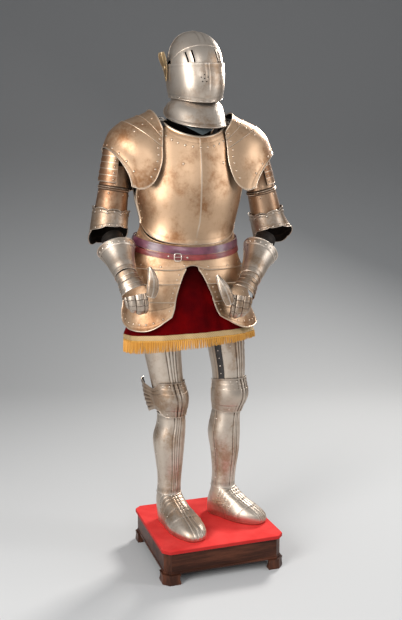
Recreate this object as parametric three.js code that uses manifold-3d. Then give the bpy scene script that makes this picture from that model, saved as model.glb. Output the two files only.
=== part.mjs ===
// Suit of plate armour standing on a cloth-covered wooden plinth.
// Millimetres, +Z up, the suit faces -Y, +X is on its left hand.
// The origin is on the floor under the middle of the whole suit.
// "right" and "left" in names are the wearer's.
import * as THREE from "three";
import { mergeVertices } from "three/addons/utils/BufferGeometryUtils.js";
import Module from "manifold-3d";

// ---------------------------------------------------------------- driving sizes

const PLATE = 1.8;            // thickness of the steel plates
const LEATHER = 2.5;          // thickness of belts and straps
const VELVET = 2.0;           // thickness of the skirt cloth
const PLINTH = { x: 25, width: 447, depth: 425, top: 124, board: 12, chamfer: 22, overhang: 4 };
const FOOT = { reach: 62, thick: 14, height: 36, proud: 6 };   // plinth bracket feet
const GROUND = PLINTH.top + 0.4;                               // the sabatons stand here

// The helmet's own frame: its X axis is the pivot through the temples.
const HEAD = { x: -18, y: 16, z: 1764, turn: 4, roll: -3.5 };
const BOX = 2.3;               // how square the helmet's sections are: 2 is an ellipse
const SKULL = { half: 89.3, radius: 111.3, low: 62, side: 80 };
const VISOR = { half: 95, radius: 117.5, low: -10, high: 82, side: 76 };
const SIGHTS = { low: -1, high: 22, at: [-36, -23, 23, 36], width: 2.8, slant: 3.5 };
const BREATHS = { x: -14, z: -54, ring: 12, width: 4.4, count: 5 };

// ---------------------------------------------------------------- finishes

const finish = (color, roughness, metalness) => ({ color, roughness, metalness });
const FINISH = {
  russet_steel: finish(0x9a7353, 0.36, 0.9),
  grey_steel: finish(0xa39c91, 0.34, 0.9),
  dark_steel: finish(0x2b2622, 0.5, 0.8),
  pale_brass: finish(0xc9a468, 0.35, 0.9),
  purple_leather: finish(0x5b2436, 0.45, 0),
  red_leather: finish(0x7d2a28, 0.5, 0),
  black_leather: finish(0x17130f, 0.55, 0),
  slate_cloth: finish(0x454a4b, 0.8, 0),
  crimson_velvet: finish(0x8e0715, 0.9, 0),
  gold_braid: finish(0xc79a4e, 0.8, 0),
  gold_fringe: finish(0xd08a1c, 0.85, 0),
  red_cloth: finish(0xd8262b, 0.9, 0),
  dark_wood: finish(0x3d1d14, 0.45, 0),
};

// ---------------------------------------------------------------- tables and curves

const rad = (degrees) => THREE.MathUtils.degToRad(degrees);
const mix = (a, b, t) => a + (b - a) * t;
const clamp = (x, low = 0, high = 1) => Math.min(high, Math.max(low, x));
const smooth = (x, low, high) => THREE.MathUtils.smoothstep(x, low, high);

// A table is a list of rows under named columns; the first column is the one looked up.
function table(columns, rows) {
  const names = columns.split(" ");
  return rows.map((row) => Object.fromEntries(names.map((name, i) => [name, row[i]])));
}

// Reads every column at `key` on a smooth curve through the rows.
function read(rows, key) {
  const names = Object.keys(rows[0]);
  const [index] = names;
  const ends = [rows[0][index], rows[rows.length - 1][index]];
  const k = clamp(key, Math.min(...ends), Math.max(...ends));
  let i = 0;
  while (i < rows.length - 2 && (k - rows[i + 1][index]) * (ends[1] - ends[0]) > 0) i += 1;
  const [a, b] = [rows[i], rows[i + 1]];
  const before = rows[Math.max(0, i - 1)];
  const after = rows[Math.min(rows.length - 1, i + 2)];
  const span = b[index] - a[index];
  const t = (k - a[index]) / span;
  const out = {};
  for (const name of names) {
    const slopeA = (b[name] - before[name]) / (b[index] - before[index]) * span;
    const slopeB = (after[name] - a[name]) / (after[index] - a[index]) * span;
    const t2 = t * t;
    const t3 = t2 * t;
    out[name] = (2 * t3 - 3 * t2 + 1) * a[name] + (t3 - 2 * t2 + t) * slopeA
      + (3 * t2 - 2 * t3) * b[name] + (t3 - t2) * slopeB;
  }
  return out;
}

// ---------------------------------------------------------------- building a plate

const suit = new THREE.Group();

function addMesh(name, look, geometry, parent = suit) {
  const mesh = new THREE.Mesh(geometry, new THREE.MeshStandardMaterial(FINISH[look]));
  mesh.name = name;
  parent.add(mesh);
  return mesh;
}

// A closed wall over the surface point(u, v), u and v from 0 to 1: an outer face, an inner
// face a wall's thickness behind it, and rims round every edge. `wrap` joins u = 1 to u = 0,
// `open(u, v)` leaves cells out as holes, and `lift` moves the whole wall outwards.
function plate(name, look, { cols, rows, wrap = false, wall = PLATE, lift = 0, open, parent }, point) {
  const spread = (n) => (Array.isArray(n) ? n : Array.from({ length: n + 1 }, (_, i) => i / n));
  const us = spread(cols);
  const vs = spread(rows);
  const nu = us.length - 1;
  const nv = vs.length - 1;
  const across = wrap ? nu : nu + 1;
  const step = 1e-3;
  const place = (u, v) => point(wrap ? (u + 1) % 1 : clamp(u), clamp(v));
  const positions = [];
  for (const depth of [lift, lift - wall]) {
    for (let j = 0; j <= nv; j += 1) {
      for (let i = 0; i < across; i += 1) {
        const alongU = place(us[i] + step, vs[j]).sub(place(us[i] - step, vs[j]));
        const alongV = place(us[i], vs[j] + step).sub(place(us[i], vs[j] - step));
        const normal = alongU.cross(alongV).normalize();
        positions.push(...place(us[i], vs[j]).addScaledVector(normal, depth).toArray());
      }
    }
  }
  const inner = across * (nv + 1);
  const id = (i, j) => j * across + (wrap ? (i + nu) % nu : i);
  const kept = (i, j) => {
    if (j < 0 || j >= nv) return false;
    if (!wrap && (i < 0 || i >= nu)) return false;
    const k = wrap ? (i + nu) % nu : i;
    return !(open && open((us[k] + us[k + 1]) / 2, (vs[j] + vs[j + 1]) / 2));
  };
  const index = [];
  const quad = (a, b, c, d) => index.push(a, b, c, a, c, d);
  const rim = (a, b) => quad(b, a, a + inner, b + inner);
  for (let j = 0; j < nv; j += 1) {
    for (let i = 0; i < nu; i += 1) {
      if (kept(i, j)) {
        const [a, b, c, d] = [id(i, j), id(i + 1, j), id(i + 1, j + 1), id(i, j + 1)];
        quad(a, b, c, d);
        quad(a + inner, d + inner, c + inner, b + inner);
        if (!kept(i, j - 1)) rim(a, b);
        if (!kept(i + 1, j)) rim(b, c);
        if (!kept(i, j + 1)) rim(c, d);
        if (!kept(i - 1, j)) rim(d, a);
      }
    }
  }
  const geometry = new THREE.BufferGeometry();
  geometry.setAttribute("position", new THREE.Float32BufferAttribute(positions, 3));
  geometry.setIndex(index);
  geometry.computeVertexNormals();
  return addMesh(name, look, geometry, parent);
}

// Angles run from 0 at the front towards +X, so 90 is the suit's left side and 180 its back.
// A level ring has a half width, a depth to the front and a depth to the back.
function onRing(row, angle, z = row.z) {
  const a = rad(angle);
  const depth = Math.cos(a) > 0 ? row.front : row.back;
  return new THREE.Vector3(row.x + row.side * Math.sin(a), row.y - depth * Math.cos(a), z);
}

// ---------------------------------------------------------------- plinth

function cantedOutline(width, depth, chamfer) {
  const [x, y] = [width / 2, depth / 2];
  return [
    [x - chamfer, -y], [x, -y + chamfer], [x, y - chamfer], [x - chamfer, y],
    [-x + chamfer, y], [-x, y - chamfer], [-x, -y + chamfer], [-x + chamfer, -y],
  ];
}

function extruded(outline, low, high, hole) {
  const shape = new THREE.Shape(outline.map(([x, y]) => new THREE.Vector2(x, y)));
  if (hole) shape.holes.push(new THREE.Path(hole.map(([x, y]) => new THREE.Vector2(x, y)).reverse()));
  const geometry = new THREE.ExtrudeGeometry(shape, { depth: high - low, bevelEnabled: false });
  geometry.translate(PLINTH.x, 0, low);
  return geometry;
}

function plinth() {
  const boxWidth = PLINTH.width - 2 * PLINTH.overhang;
  const boxDepth = PLINTH.depth - 2 * PLINTH.overhang;
  const boxTop = PLINTH.top - PLINTH.board - 0.3;
  const panel = 18;
  const outer = cantedOutline(boxWidth, boxDepth, PLINTH.chamfer);
  const inner = cantedOutline(boxWidth - 2 * panel, boxDepth - 2 * panel, PLINTH.chamfer * 0.8);
  addMesh("plinth_box", "dark_wood", extruded(outer, FOOT.height + 0.3, boxTop, inner));
  const top = cantedOutline(PLINTH.width, PLINTH.depth, PLINTH.chamfer);
  addMesh("plinth_top", "red_cloth", extruded(top, boxTop + 0.3, PLINTH.top));
  // Each foot is an L-shaped slab under a corner, its outer corner canted like the box.
  const [x, y] = [boxWidth / 2 + FOOT.proud, boxDepth / 2 + FOOT.proud];
  const { reach, thick } = FOOT;
  const cant = PLINTH.chamfer;
  const in1 = thick + FOOT.proud;
  for (const [end, sy] of [["front", -1], ["back", 1]]) {
    for (const [hand, sx] of [["right", -1], ["left", 1]]) {
      const outline = [
        [x - cant, y], [x, y - cant], [x, y - reach], [x - in1, y - reach],
        [x - in1, y - cant * 0.8 - in1 / 2], [x - cant * 0.8 - in1 / 2, y - in1],
        [x - reach, y - in1], [x - reach, y],
      ].map(([px, py]) => [px * sx, py * sy]);
      if (sx * sy > 0) outline.reverse();
      addMesh(`plinth_foot_${end}_${hand}`, "dark_wood", extruded(outline, 0, FOOT.height));
    }
  }
}

// ---------------------------------------------------------------- legs and feet

// The centre of each leg at each height, and the outlines of its plates.
const LEG = {
  right: { turn: 10, outer: -1, sole: [-97, 26], toe: 10, long: [1, 0.96], path: table("z x y", [
    [124, -106, 46], [233, -106, 46], [300, -103, 46], [380, -105, 40], [448, -106, 36],
    [510, -99, 32], [600, -106, 28], [690, -121, 26], [780, -134, 24], [900, -146, 20]]) },
  left: { turn: 26, outer: 1, sole: [107, 54], toe: 35, long: [0.915, 0.84], path: table("z x y", [
    [124, 110, 46], [233, 109, 46], [300, 114, 46], [380, 115, 40], [448, 112, 36],
    [510, 114, 32], [600, 121, 28], [690, 120, 26], [780, 110, 24], [900, 96, 20]]) },
};
const SHIN = table("z side front back", [
  [236, 43, 45, 46], [300, 44, 44, 50], [360, 50, 50, 58], [448, 58, 56, 70],
  [505, 52, 54, 64], [548, 49, 56, 56]]);
const THIGH = table("z side front back", [
  [632, 58, 61, 58], [690, 60, 64, 62], [780, 67, 70, 70], [890, 73, 76, 76]]);
const KNEE = table("z side front back", [
  [536, 53, 60, 62], [562, 59, 69, 64], [600, 65, 81, 66], [638, 65, 75, 66], [668, 64, 68, 68]]);
const SOLE = table("z side front back", [
  [0, 48, 204, 64], [18, 53, 208, 68], [36, 53, 196, 67], [54, 52, 164, 64],
  [72, 49, 124, 58], [92, 46, 80, 51], [112, 42, 46, 46]]);

// A point on a leg's ring, its front turned out by the leg's own angle.
function onLeg(leg, outline, angle, z, turn = leg.turn) {
  const centre = read(leg.path, z);
  const ring = read(outline, z);
  const p = onRing({ ...ring, x: 0, y: 0 }, angle, z);
  p.applyAxisAngle(new THREE.Vector3(0, 0, 1), rad(turn));
  return p.add(new THREE.Vector3(centre.x, centre.y, 0));
}

// A low medial crest down the front of a plate.
const crest = (angle, height, width) => 1 + height * Math.max(0, 1 - Math.abs(angle) / width);

function legs() {
  for (const [hand, leg] of Object.entries(LEG)) {
    plate(`greave_${hand}`, "grey_steel", { cols: 14, rows: 6, wrap: true }, (u, v) => (
      onLeg(leg, SHIN, u * 360 - 180, mix(238, 546, v))));
    plate(`cuisse_${hand}`, "grey_steel", { cols: 14, rows: 3, wrap: true }, (u, v) => (
      onLeg(leg, THIGH, u * 360 - 180, mix(636, 884, v))));
    // The knee plate is narrow beside the knee and fans out again behind its outer side.
    plate(`poleyn_${hand}`, "grey_steel", { cols: 16, rows: 4 }, (u, v) => {
      const around = leg.outer > 0 ? mix(-118, 150, u) : mix(-150, 118, u);
      const out = around * leg.outer;
      const fan = smooth(out, 95, 145);
      const pinch = smooth(out, 45, 88) * (1 - fan);
      const height = mix(64, 40, pinch) - 8 * smooth(-out, 60, 110);
      const z = 602 + (v * 2 - 1) * height;
      const p = onLeg(leg, KNEE, around, mix(602, z, 1));
      const centre = read(leg.path, z);
      const axis = new THREE.Vector3(centre.x, centre.y, z);
      return p.sub(axis).multiplyScalar(1 + 0.58 * fan).add(axis);
    });
    // The foot is drawn as rings from the sole up to the ankle, long and broad to the toe.
    plate(`sabaton_${hand}`, "grey_steel", { cols: 18, rows: 5, wrap: true }, (u, v) => {
      const angle = u * 360 - 180;
      const row = read(SOLE, v * 112);
      const a = rad(angle);
      const blunt = Math.cos(a) > 0 ? 0.72 : 1;
      const long = mix(1, leg.long[Math.cos(a) > 0 ? 0 : 1], 1 - smooth(row.z, 16, 104));
      const y = -(Math.cos(a) > 0 ? row.front : row.back) * long * Math.cos(a);
      const broad = 1 + 0.36 * smooth(-y, 0, 120) * (1 - smooth(row.z, 24, 84));
      const x = row.side * broad * Math.sign(Math.sin(a)) * Math.abs(Math.sin(a)) ** blunt;
      const rise = smooth(row.z, 16, 104);
      const ankle = read(leg.path, 236);
      const turned = rad(mix(leg.toe, leg.turn, rise));
      return new THREE.Vector3(x, y, 0).applyAxisAngle(new THREE.Vector3(0, 0, 1), turned).add(new THREE.Vector3(
        mix(leg.sole[0], ankle.x, rise), mix(leg.sole[1], ankle.y, rise), GROUND + row.z));
    });
  }
}

// ---------------------------------------------------------------- torso

const TORSO = table("z x y side front back", [
  [1150, -51, 20, 176, 126, 104], [1200, -44, 20, 170, 124, 100], [1240, -38, 20, 173, 132, 102],
  [1318, -38, 20, 190, 146, 114], [1400, -36, 20, 198, 144, 126], [1470, -35, 20, 190, 132, 128],
  [1520, -35, 20, 174, 120, 125], [1560, -34, 20, 162, 98, 120], [1604, -33, 20, 150, 74, 112]]);
// How far round the front and back plates reach at each height: cut away for the arms.
const ARMHOLE = table("z front back", [
  [1150, 84, 86], [1240, 86, 86], [1330, 82, 84], [1400, 62, 68], [1470, 50, 54], [1520, 46, 44],
  [1570, 46, 44], [1604, 46, 43]]);

function torso() {
  // The front's lower edge is a bow, its neck edge a hollow, with a keel down the middle.
  plate("breastplate", "russet_steel", { cols: 16, rows: 7 }, (u, v) => {
    const s = u * 2 - 1;
    const low = 1160 + 72 * Math.abs(s) ** 2.4;
    const high = 1518 + 52 * Math.abs(s) ** 1.8;
    const z = mix(low, high, v);
    const angle = s * read(ARMHOLE, z).front;
    const ring = read(TORSO, z);
    ring.front *= crest(angle, 0.035 * smooth(z, 1140, 1220), 22);
    return onRing(ring, angle, z);
  });
  plate("backplate", "dark_steel", { cols: 14, rows: 6 }, (u, v) => {
    const s = u * 2 - 1;
    const z = mix(1178 + 20 * s * s, 1600 - 16 * s * s, v);
    return onRing(read(TORSO, z), 180 + s * read(ARMHOLE, z).back, z);
  });
  // The waist lame shows at both sides below the front's edge.
  plate("waist_lame", "russet_steel", { cols: 16, rows: 2, lift: -0.5 }, (u, v) => {
    const s = u * 2 - 1;
    const z = mix(1124 + 50 * s * s, 1159 + 72 * Math.abs(s) ** 2.4, v);
    return onRing(read(HIPS, z), s * 86, z);
  });
  for (const [hand, side] of [["right", -1], ["left", 1]]) {
    // An arch of leather from the front plate over to the back plate.
    plate(`shoulder_strap_${hand}`, "black_leather", { cols: 10, rows: 1, wall: LEATHER }, (u, v) => {
      const a = rad(mix(4, 176, side > 0 ? u : 1 - u));
      const x = side > 0 ? mix(92, 107, v) : mix(-162, -146, v);
      const reach = Math.cos(a) > 0 ? 86 : 97;
      return new THREE.Vector3(x, 21 - reach * Math.cos(a), 1552 + 42 * Math.sin(a));
    });
    // A dark strap closes the gap between the plates at the flank, inside both of them.
    plate(`side_strap_${hand}`, "black_leather", { cols: 3, rows: 4, wall: LEATHER, lift: -6 }, (u, v) => {
      const z = mix(1248, 1360, v);
      return onRing(read(TORSO, z), side * 90 + (u * 2 - 1) * 12, z);
    });
  }
}

// ---------------------------------------------------------------- belts, fauld, tassets, skirt

const HIPS = table("z x y side front back", [
  [780, -28, 20, 256, 160, 154], [840, -29, 20, 253, 160, 152], [900, -38, 20, 246, 161, 150],
  [950, -42, 20, 243, 160, 148], [1000, -46, 20, 236, 157, 144], [1050, -50, 20, 224, 151, 138],
  [1093, -53, 20, 210, 144, 130], [1130, -53, 20, 198, 138, 120], [1160, -52, 20, 190, 134, 112],
  [1200, -47, 20, 180, 131, 108], [1240, -42, 20, 181, 137, 110]]);

// Half angle of the arch between the tassets at each height, and its turn to the right.
const ARCH = table("z angle", [
  [850, 31], [880, 26], [907, 22], [942, 18.5], [968, 17], [1003, 14.5], [1054, 9.5], [1078, 6]]);
const ARCH_TURN = -4;

function belt(name, look, low, high, lift, sag) {
  plate(name, look, { cols: 28, rows: 1, wrap: true, wall: LEATHER, lift }, (u, v) => {
    const angle = u * 360 - 180;
    const z = mix(low, high, v) - sag * (Math.cos(rad(angle)) * 0.5 + 0.5) ** 2.2;
    return onRing(read(HIPS, z), angle, z);
  });
}

function hipPlates() {
  belt("belt_upper", "purple_leather", 1176, 1201, 6, 50);
  belt("belt_lower", "red_leather", 1153, 1171, 4.2, 46);
  const buckle = new THREE.Shape([[-13, -14], [13, -14], [13, 14], [-13, 14]].map((p) => new THREE.Vector2(...p)));
  buckle.holes.push(new THREE.Path([[-9, -10], [-9, 10], [9, 10], [9, -10]].map((p) => new THREE.Vector2(...p))));
  const frame = new THREE.ExtrudeGeometry(buckle, { depth: 3, bevelEnabled: false });
  const holder = new THREE.Group();
  const spot = onRing(read(HIPS, 1119), -18, 1119);
  holder.position.copy(spot).add(new THREE.Vector3(-3, -9.5, 0));
  holder.rotation.set(rad(90), 0, rad(-13), "ZXY");
  addMesh("belt_buckle", "grey_steel", frame, holder);
  suit.add(holder);
  // The fauld: one lame right across the front under the belts, arched in the middle.
  plate("fauld", "russet_steel", { cols: 18, rows: 3, lift: -1 }, (u, v) => {
    const angle = (u * 2 - 1) * 96;
    const low = 1075 + 16 * Math.exp(-(((angle - ARCH_TURN) / 9) ** 2)) + 10 * smooth(Math.abs(angle), 20, 90);
    const z = mix(low, 1121 + 48 * (angle / 86) ** 2, v);
    return onRing(read(HIPS, z), angle, z);
  });
  plate("culet", "dark_steel", { cols: 12, rows: 3, lift: -1 }, (u, v) => {
    const z = mix(1030, 1182, v);
    return onRing(read(HIPS, z), mix(97, 263, u), z);
  });
  for (const [hand, side] of [["right", -1], ["left", 1]]) {
    const across = (u, z, outer) => {
      const inner = read(ARCH, z).angle + side * ARCH_TURN;
      return side > 0 ? mix(inner, outer, u) : -mix(outer, inner, u);
    };
    // Two riveted lames, each tucked behind the one above.
    plate(`tasset_lames_${hand}`, "russet_steel", {
      cols: 10, rows: [0, 0.44, 0.5, 1], lift: -4.5 }, (u, v) => {
      const z = mix(966, 1090, v);
      const angle = across(u, z, 94);
      const tuck = v < 0.46 ? 2 : 0;
      const ring = read(HIPS, z);
      return onRing({ ...ring, side: ring.side - tuck, front: ring.front - tuck, back: ring.back - tuck }, angle, z);
    });
    // The big rounded end plate of each side.
    plate(`tasset_plate_${hand}`, "russet_steel", { cols: 10, rows: 4, lift: -10 }, (u, v) => {
      const s = side > 0 ? u : 1 - u;
      const z = mix(918 - 56 * (1 - Math.abs(2 * s - 1) ** 2.6) + 16 * s * s, 980, v);
      const ring = read(HIPS, z);
      const flare = 12 * smooth(960 - z, 0, 80);
      return onRing({ ...ring, side: ring.side + flare, front: ring.front + flare },
        across(u, Math.max(z, 900), 90), z);
    });
  }
}

const PLEATS = 11;            // soft pleats round the skirt
const HEM = { low: 850, braid: 16, fringe: 36 };

// The skirt's cloth: a flaring tube with soft pleats that deepen towards the hem.
function onSkirt(angle, z, out = 0) {
  const ring = read(HIPS, z);
  const fall = smooth(1140 - z, 0, 300);
  const behind = smooth(Math.abs(angle), 105, 135);
  const wave = (2.4 + 5 * behind) * fall * Math.cos(rad(angle * PLEATS));
  const inset = 26 - 5 * fall - 10 * smooth(870 - z, 0, 30) - out - wave;
  return onRing({ ...ring, side: ring.side - inset, front: ring.front - inset,
    back: ring.back - inset }, angle, z);
}

function skirt() {
  const turn = (u) => u * 360 - 180;
  const hem = (u) => HEM.low + 8 * Math.cos(rad(turn(u) / 2)) ** 6 + 8 * Math.sin(rad(turn(u)));
  const thread = (u) => HEM.fringe * (1 - 0.34 * Math.sin(rad(turn(u))));
  plate("skirt", "crimson_velvet", { cols: 44, rows: 4, wrap: true, wall: VELVET }, (u, v) => (
    onSkirt(turn(u), mix(hem(u), 1122, v))));
  plate("skirt_braid", "gold_braid", { cols: 44, rows: 1, wrap: true, wall: VELVET, lift: 0.8 }, (u, v) => (
    onSkirt(turn(u), hem(u) - 0.6 - HEM.braid * (1 - v))));
  plate("skirt_fringe", "gold_fringe", { cols: 44, rows: 1, wrap: true, wall: 4 }, (u, v) => (
    onSkirt(turn(u), hem(u) - 1.2 - HEM.braid - thread(u) * (1 - v), 1)));
}

// ---------------------------------------------------------------- arms

const CHEST = -31;            // the shoulders' middle in X
const LEAN = 0.14;            // how far the shoulder fronts turn to the suit's right, per mm forward

// Hoops of the shoulder plate from the neck outwards: front end, then the crown above it.
const HOOP = table("at endX endY endZ crownX crownZ", [
  [0, 112, -76, 1547, 148, 1619], [1, 114, -86, 1517, 190, 1598], [2, 116, -96, 1486, 243, 1575],
  [3, 120, -108, 1433, 282, 1543], [4, 146, -112, 1370, 298, 1514], [4.5, 182, -110, 1346, 303, 1500],
  [5, 220, -100, 1354, 306, 1486]]);

// Upper arm from shoulder to elbow, forearm from elbow to wrist, then the hand's points.
const ARM = {
  right: { side: -1, shoulder: [-282, 20, 1500], elbow: [-320, 34, 1215], wrist: [-300, -136, 1062],
    flare: 0,
    knuckles: [-280, -172, 1006], curl: [-272, -170, 966], tips: [-266, -138, 952], back: [-0.35, -1, 0.25],
    thumb: [[-232, -190, 998], [-225, -194, 1044], [-232, -178, 1090]] },
  left: { side: 1, shoulder: [204, 20, 1500], elbow: [284, 34, 1208], wrist: [138, -134, 1040],
    flare: 20,
    knuckles: [98, -170, 990], curl: [90, -168, 940], tips: [92, -138, 922], back: [0.1, -1, 0.25],
    thumb: [[44, -190, 964], [24, -192, 1010], [4, -172, 1056]] },
};

// A point round a straight limb: angle 0 lies along `front`, made square to the limb.
function onLimb(start, end, front, at, angle, side, depthFront = side, depthBack = depthFront) {
  const a = new THREE.Vector3(...start);
  const along = new THREE.Vector3(...end).sub(a);
  const centre = a.addScaledVector(along, at);
  const axis = along.normalize();
  const forward = front.clone().addScaledVector(axis, -front.dot(axis)).normalize();
  const across = axis.clone().cross(forward);
  const r = rad(angle);
  const depth = Math.cos(r) > 0 ? depthFront : depthBack;
  return centre.addScaledVector(across, side * Math.sin(r)).addScaledVector(forward, depth * Math.cos(r));
}

const FRONT = new THREE.Vector3(0, -1, 0);
const LAME_STEPS = [0, 0.19, 0.21, 0.39, 0.41, 0.59, 0.61, 0.79, 0.81, 1];

// Radii down the upper arm, over the elbow and down the cuff.
const UPPER = table("at radius", [[0.24, 46], [0.44, 49], [0.5, 52], [0.56, 52], [0.8, 56]]);
const ELBOW = table("at side front back", [
  [0.76, 61, 61, 61], [0.86, 64, 65, 66], [1, 65, 68, 72], [1.1, 65, 68, 74], [1.3, 60, 62, 70]]);
const CUFF = table("at side", [[0.38, 66], [0.5, 60], [0.7, 48], [0.86, 43], [1, 42]]);

// A point round a curve through three points, `front` turning as the curve does.
function onCurve([a, b, c], fronts, at, angle, side, depth = side) {
  const [p, q, r] = [a, b, c].map((point) => new THREE.Vector3(...point));
  const control = q.clone().multiplyScalar(2).addScaledVector(p, -0.5).addScaledVector(r, -0.5);
  const curve = new THREE.QuadraticBezierCurve3(p, control, r);
  const axis = curve.getTangent(at);
  const front = new THREE.Vector3(...fronts[0]).normalize()
    .lerp(new THREE.Vector3(...fronts[1]).normalize(), at);
  const forward = front.addScaledVector(axis, -front.dot(axis)).normalize();
  const across = axis.clone().cross(forward);
  const t = rad(angle);
  return curve.getPoint(at).addScaledVector(across, side * Math.sin(t)).addScaledVector(forward, depth * Math.cos(t));
}

function arms() {
  for (const [hand, arm] of Object.entries(ARM)) {
    const { side } = arm;
    const outward = (u, from, to) => (side > 0 ? mix(-to, -from, u) : mix(from, to, u));
    const around = (angle) => smooth(-side * Math.sin(rad(angle)), 0, 1);
    plate(`pauldron_${hand}`, "russet_steel", {
      cols: 12, rows: [0, 0.19, 0.21, 0.39, 0.41, 0.6, 0.8, 1] }, (u, v) => {
      const row = read(HOOP, v * 5);
      const around = side > 0 ? u : 1 - u;
      const theta = rad(around * 180);
      const fore = around < 0.5;
      const endY = fore ? row.endY : 20 + (20 - row.endY) * 1.1;
      const endX = CHEST + side * row.endX - (fore ? LEAN * (20 - endY) : 0);
      const rise = Math.sin(theta);
      const lobe = smooth(v, 0.5, 1);          // the wing's lower edge climbs before it spreads
      return new THREE.Vector3(
        mix(endX, CHEST + side * row.crownX, rise ** mix(1, 1.35, lobe)),
        20 + (endY - 20) * Math.abs(Math.cos(theta)),
        mix(row.endZ, row.crownZ, rise ** mix(1, 0.82, lobe)) - (v < 0.2 ? 4.4 : v < 0.4 ? 2.2 : 0),
      );
    });
    // Five narrow lames down the outside of the upper arm.
    plate(`arm_lames_${hand}`, "russet_steel", { cols: 8, rows: LAME_STEPS }, (u, v) => {
      const lame = Math.floor(v * 4.999);
      return onLimb(arm.shoulder, arm.elbow, FRONT, mix(0.09, 0.46, v),
        outward(u, 6, 186), 57 - 0.9 * (5 - lame));
    });
    plate(`rerebrace_${hand}`, "russet_steel", {
      cols: 12, rows: [0, 0.44, 0.5, 0.56, 1], wrap: true }, (u, v) => {
      const at = mix(0.26, 0.79, v);
      const ridge = 4.5 * Math.max(0, 1 - Math.abs(v - 0.5) / 0.055);
      return onLimb(arm.shoulder, arm.elbow, FRONT, at, u * 360 - 180, read(UPPER, at).radius + ridge);
    });
    // The elbow piece hangs lower behind and on its outer side than in front.
    plate(`couter_${hand}`, "grey_steel", { cols: 12, rows: 4, wrap: true }, (u, v) => {
      const angle = u * 360 - 180;
      const out = around(angle);
      const low = mix(0.965, 1.2, smooth(-Math.cos(rad(angle)), -0.75, 1)) + 0.06 * out;
      const at = mix(0.765, low, v);
      const ring = read(ELBOW, at);
      const flare = arm.flare * out * smooth(at, 0.85, 1.1);
      return onLimb(arm.shoulder, arm.elbow, FRONT, at, angle, ring.side + flare, ring.front, ring.back);
    });
    plate(`vambrace_${hand}`, "dark_steel", { cols: 12, rows: 2, wrap: true }, (u, v) => (
      onLimb(arm.elbow, arm.wrist, FRONT, mix(0.22, 0.86, v), u * 360 - 180, mix(38, 33, v))));
    plate(`gauntlet_cuff_${hand}`, "grey_steel", { cols: 12, rows: 4, wrap: true }, (u, v) => {
      const at = mix(0.39 + 0.1 * (0.5 + 0.5 * Math.cos(rad(u * 360 - 180))), 0.99, v);
      return onLimb(arm.elbow, arm.wrist, FRONT, at, u * 360 - 180, read(CUFF, at).side);
    });
    const dorsal = new THREE.Vector3(...arm.back);
    plate(`hand_plates_${hand}`, "grey_steel", { cols: 10, rows: [0, 0.45, 0.5, 1] }, (u, v) => (
      onLimb(arm.wrist, arm.knuckles, dorsal, mix(-0.12, 0.86, v), mix(-108, 108, u),
        mix(33, 41, v) + (v < 0.47 ? 0 : 1.6), mix(33, 26, v) + (v < 0.47 ? 0 : 1.6), 22)));
    // The fingers lie side by side under one row of curled scales, open towards the palm.
    plate(`fingers_${hand}`, "grey_steel", { cols: 12, rows: 4 }, (u, v) => (
      onCurve([arm.knuckles, arm.curl, arm.tips], [arm.back, [arm.back[0], -0.6, -0.8]],
        mix(0.04, 1, v), mix(-112, 112, u), 39 - 7 * v * v, 19 - 3 * v)));
    plate(`thumb_${hand}`, "grey_steel", { cols: 6, rows: 5 }, (u, v) => {
      const leaf = 19 * Math.sin(Math.PI * mix(0.28, 0.93, v)) ** 0.8;
      return onCurve(arm.thumb, [[-side * 0.1, -1, 0.1], [0, -1, 0.3]], v, mix(-80, 80, u), leaf, 9);
    });
  }
}

// ---------------------------------------------------------------- helmet

const wasm = await Module();
wasm.setup();

function toSolid(geometry) {
  const bare = new THREE.BufferGeometry();
  bare.setAttribute("position", geometry.getAttribute("position"));
  bare.setIndex(geometry.index);
  const merged = mergeVertices(bare, 1e-4);
  return new wasm.Manifold(new wasm.Mesh({
    numProp: 3,
    vertProperties: merged.attributes.position.array,
    triVerts: new Uint32Array(merged.index.array),
  }));
}

function fromSolid(solid) {
  const mesh = solid.getMesh();
  const geometry = new THREE.BufferGeometry();
  geometry.setAttribute("position", new THREE.BufferAttribute(mesh.vertProperties, 3));
  geometry.setIndex(new THREE.BufferAttribute(mesh.triVerts, 1));
  geometry.computeVertexNormals();
  return geometry;
}

const boxed = (x) => Math.sign(x) * Math.abs(x) ** (2 / BOX);

// A ball-like surface turned about the temples: `side` runs from temple to temple,
// `lift` from 0 at the face over the crown to 180 at the back of the head.
function onBall({ half, radius }, side, lift) {
  const [a, b] = [rad(side), rad(lift)];
  const out = boxed(Math.cos(a));
  return new THREE.Vector3(
    half * boxed(Math.sin(a)), -radius * out * Math.cos(b), radius * out * Math.sin(b));
}

// Level sections in the helmet's frame.
const NAPE = table("z side back", [[0, 89.3, 111.3], [-40, 87, 110], [-80, 82, 106], [-112, 76, 102]]);
const CHIN = table("z side front back", [
  [14, 99, 122, 92], [-12, 98.7, 124, 92], [-45, 97.5, 128, 92], [-80, 94, 124, 90], [-108, 87, 114, 86],
  [-124, 81, 105, 82], [-132, 84, 108, 84]]);
// The neck plates' sections in the suit's own frame.
const NECK = table("z x y side front back", [
  [1668, -15, 16, 72, 82, 72], [1654, -15, 16, 80, 86, 78], [1636, -16, 16, 98, 94, 90],
  [1612, -17, 16, 104, 114, 98], [1580, -15, 16, 109, 132, 104], [1546, -13, 16, 114, 148, 112]]);
const COLLAR = table("z x y side front back", [
  [1650, -19, 18, 56, 66, 52], [1610, -20, 18, 76, 88, 66], [1580, -24, 18, 98, 110, 84],
  [1526, -30, 18, 118, 138, 92]]);

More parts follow.
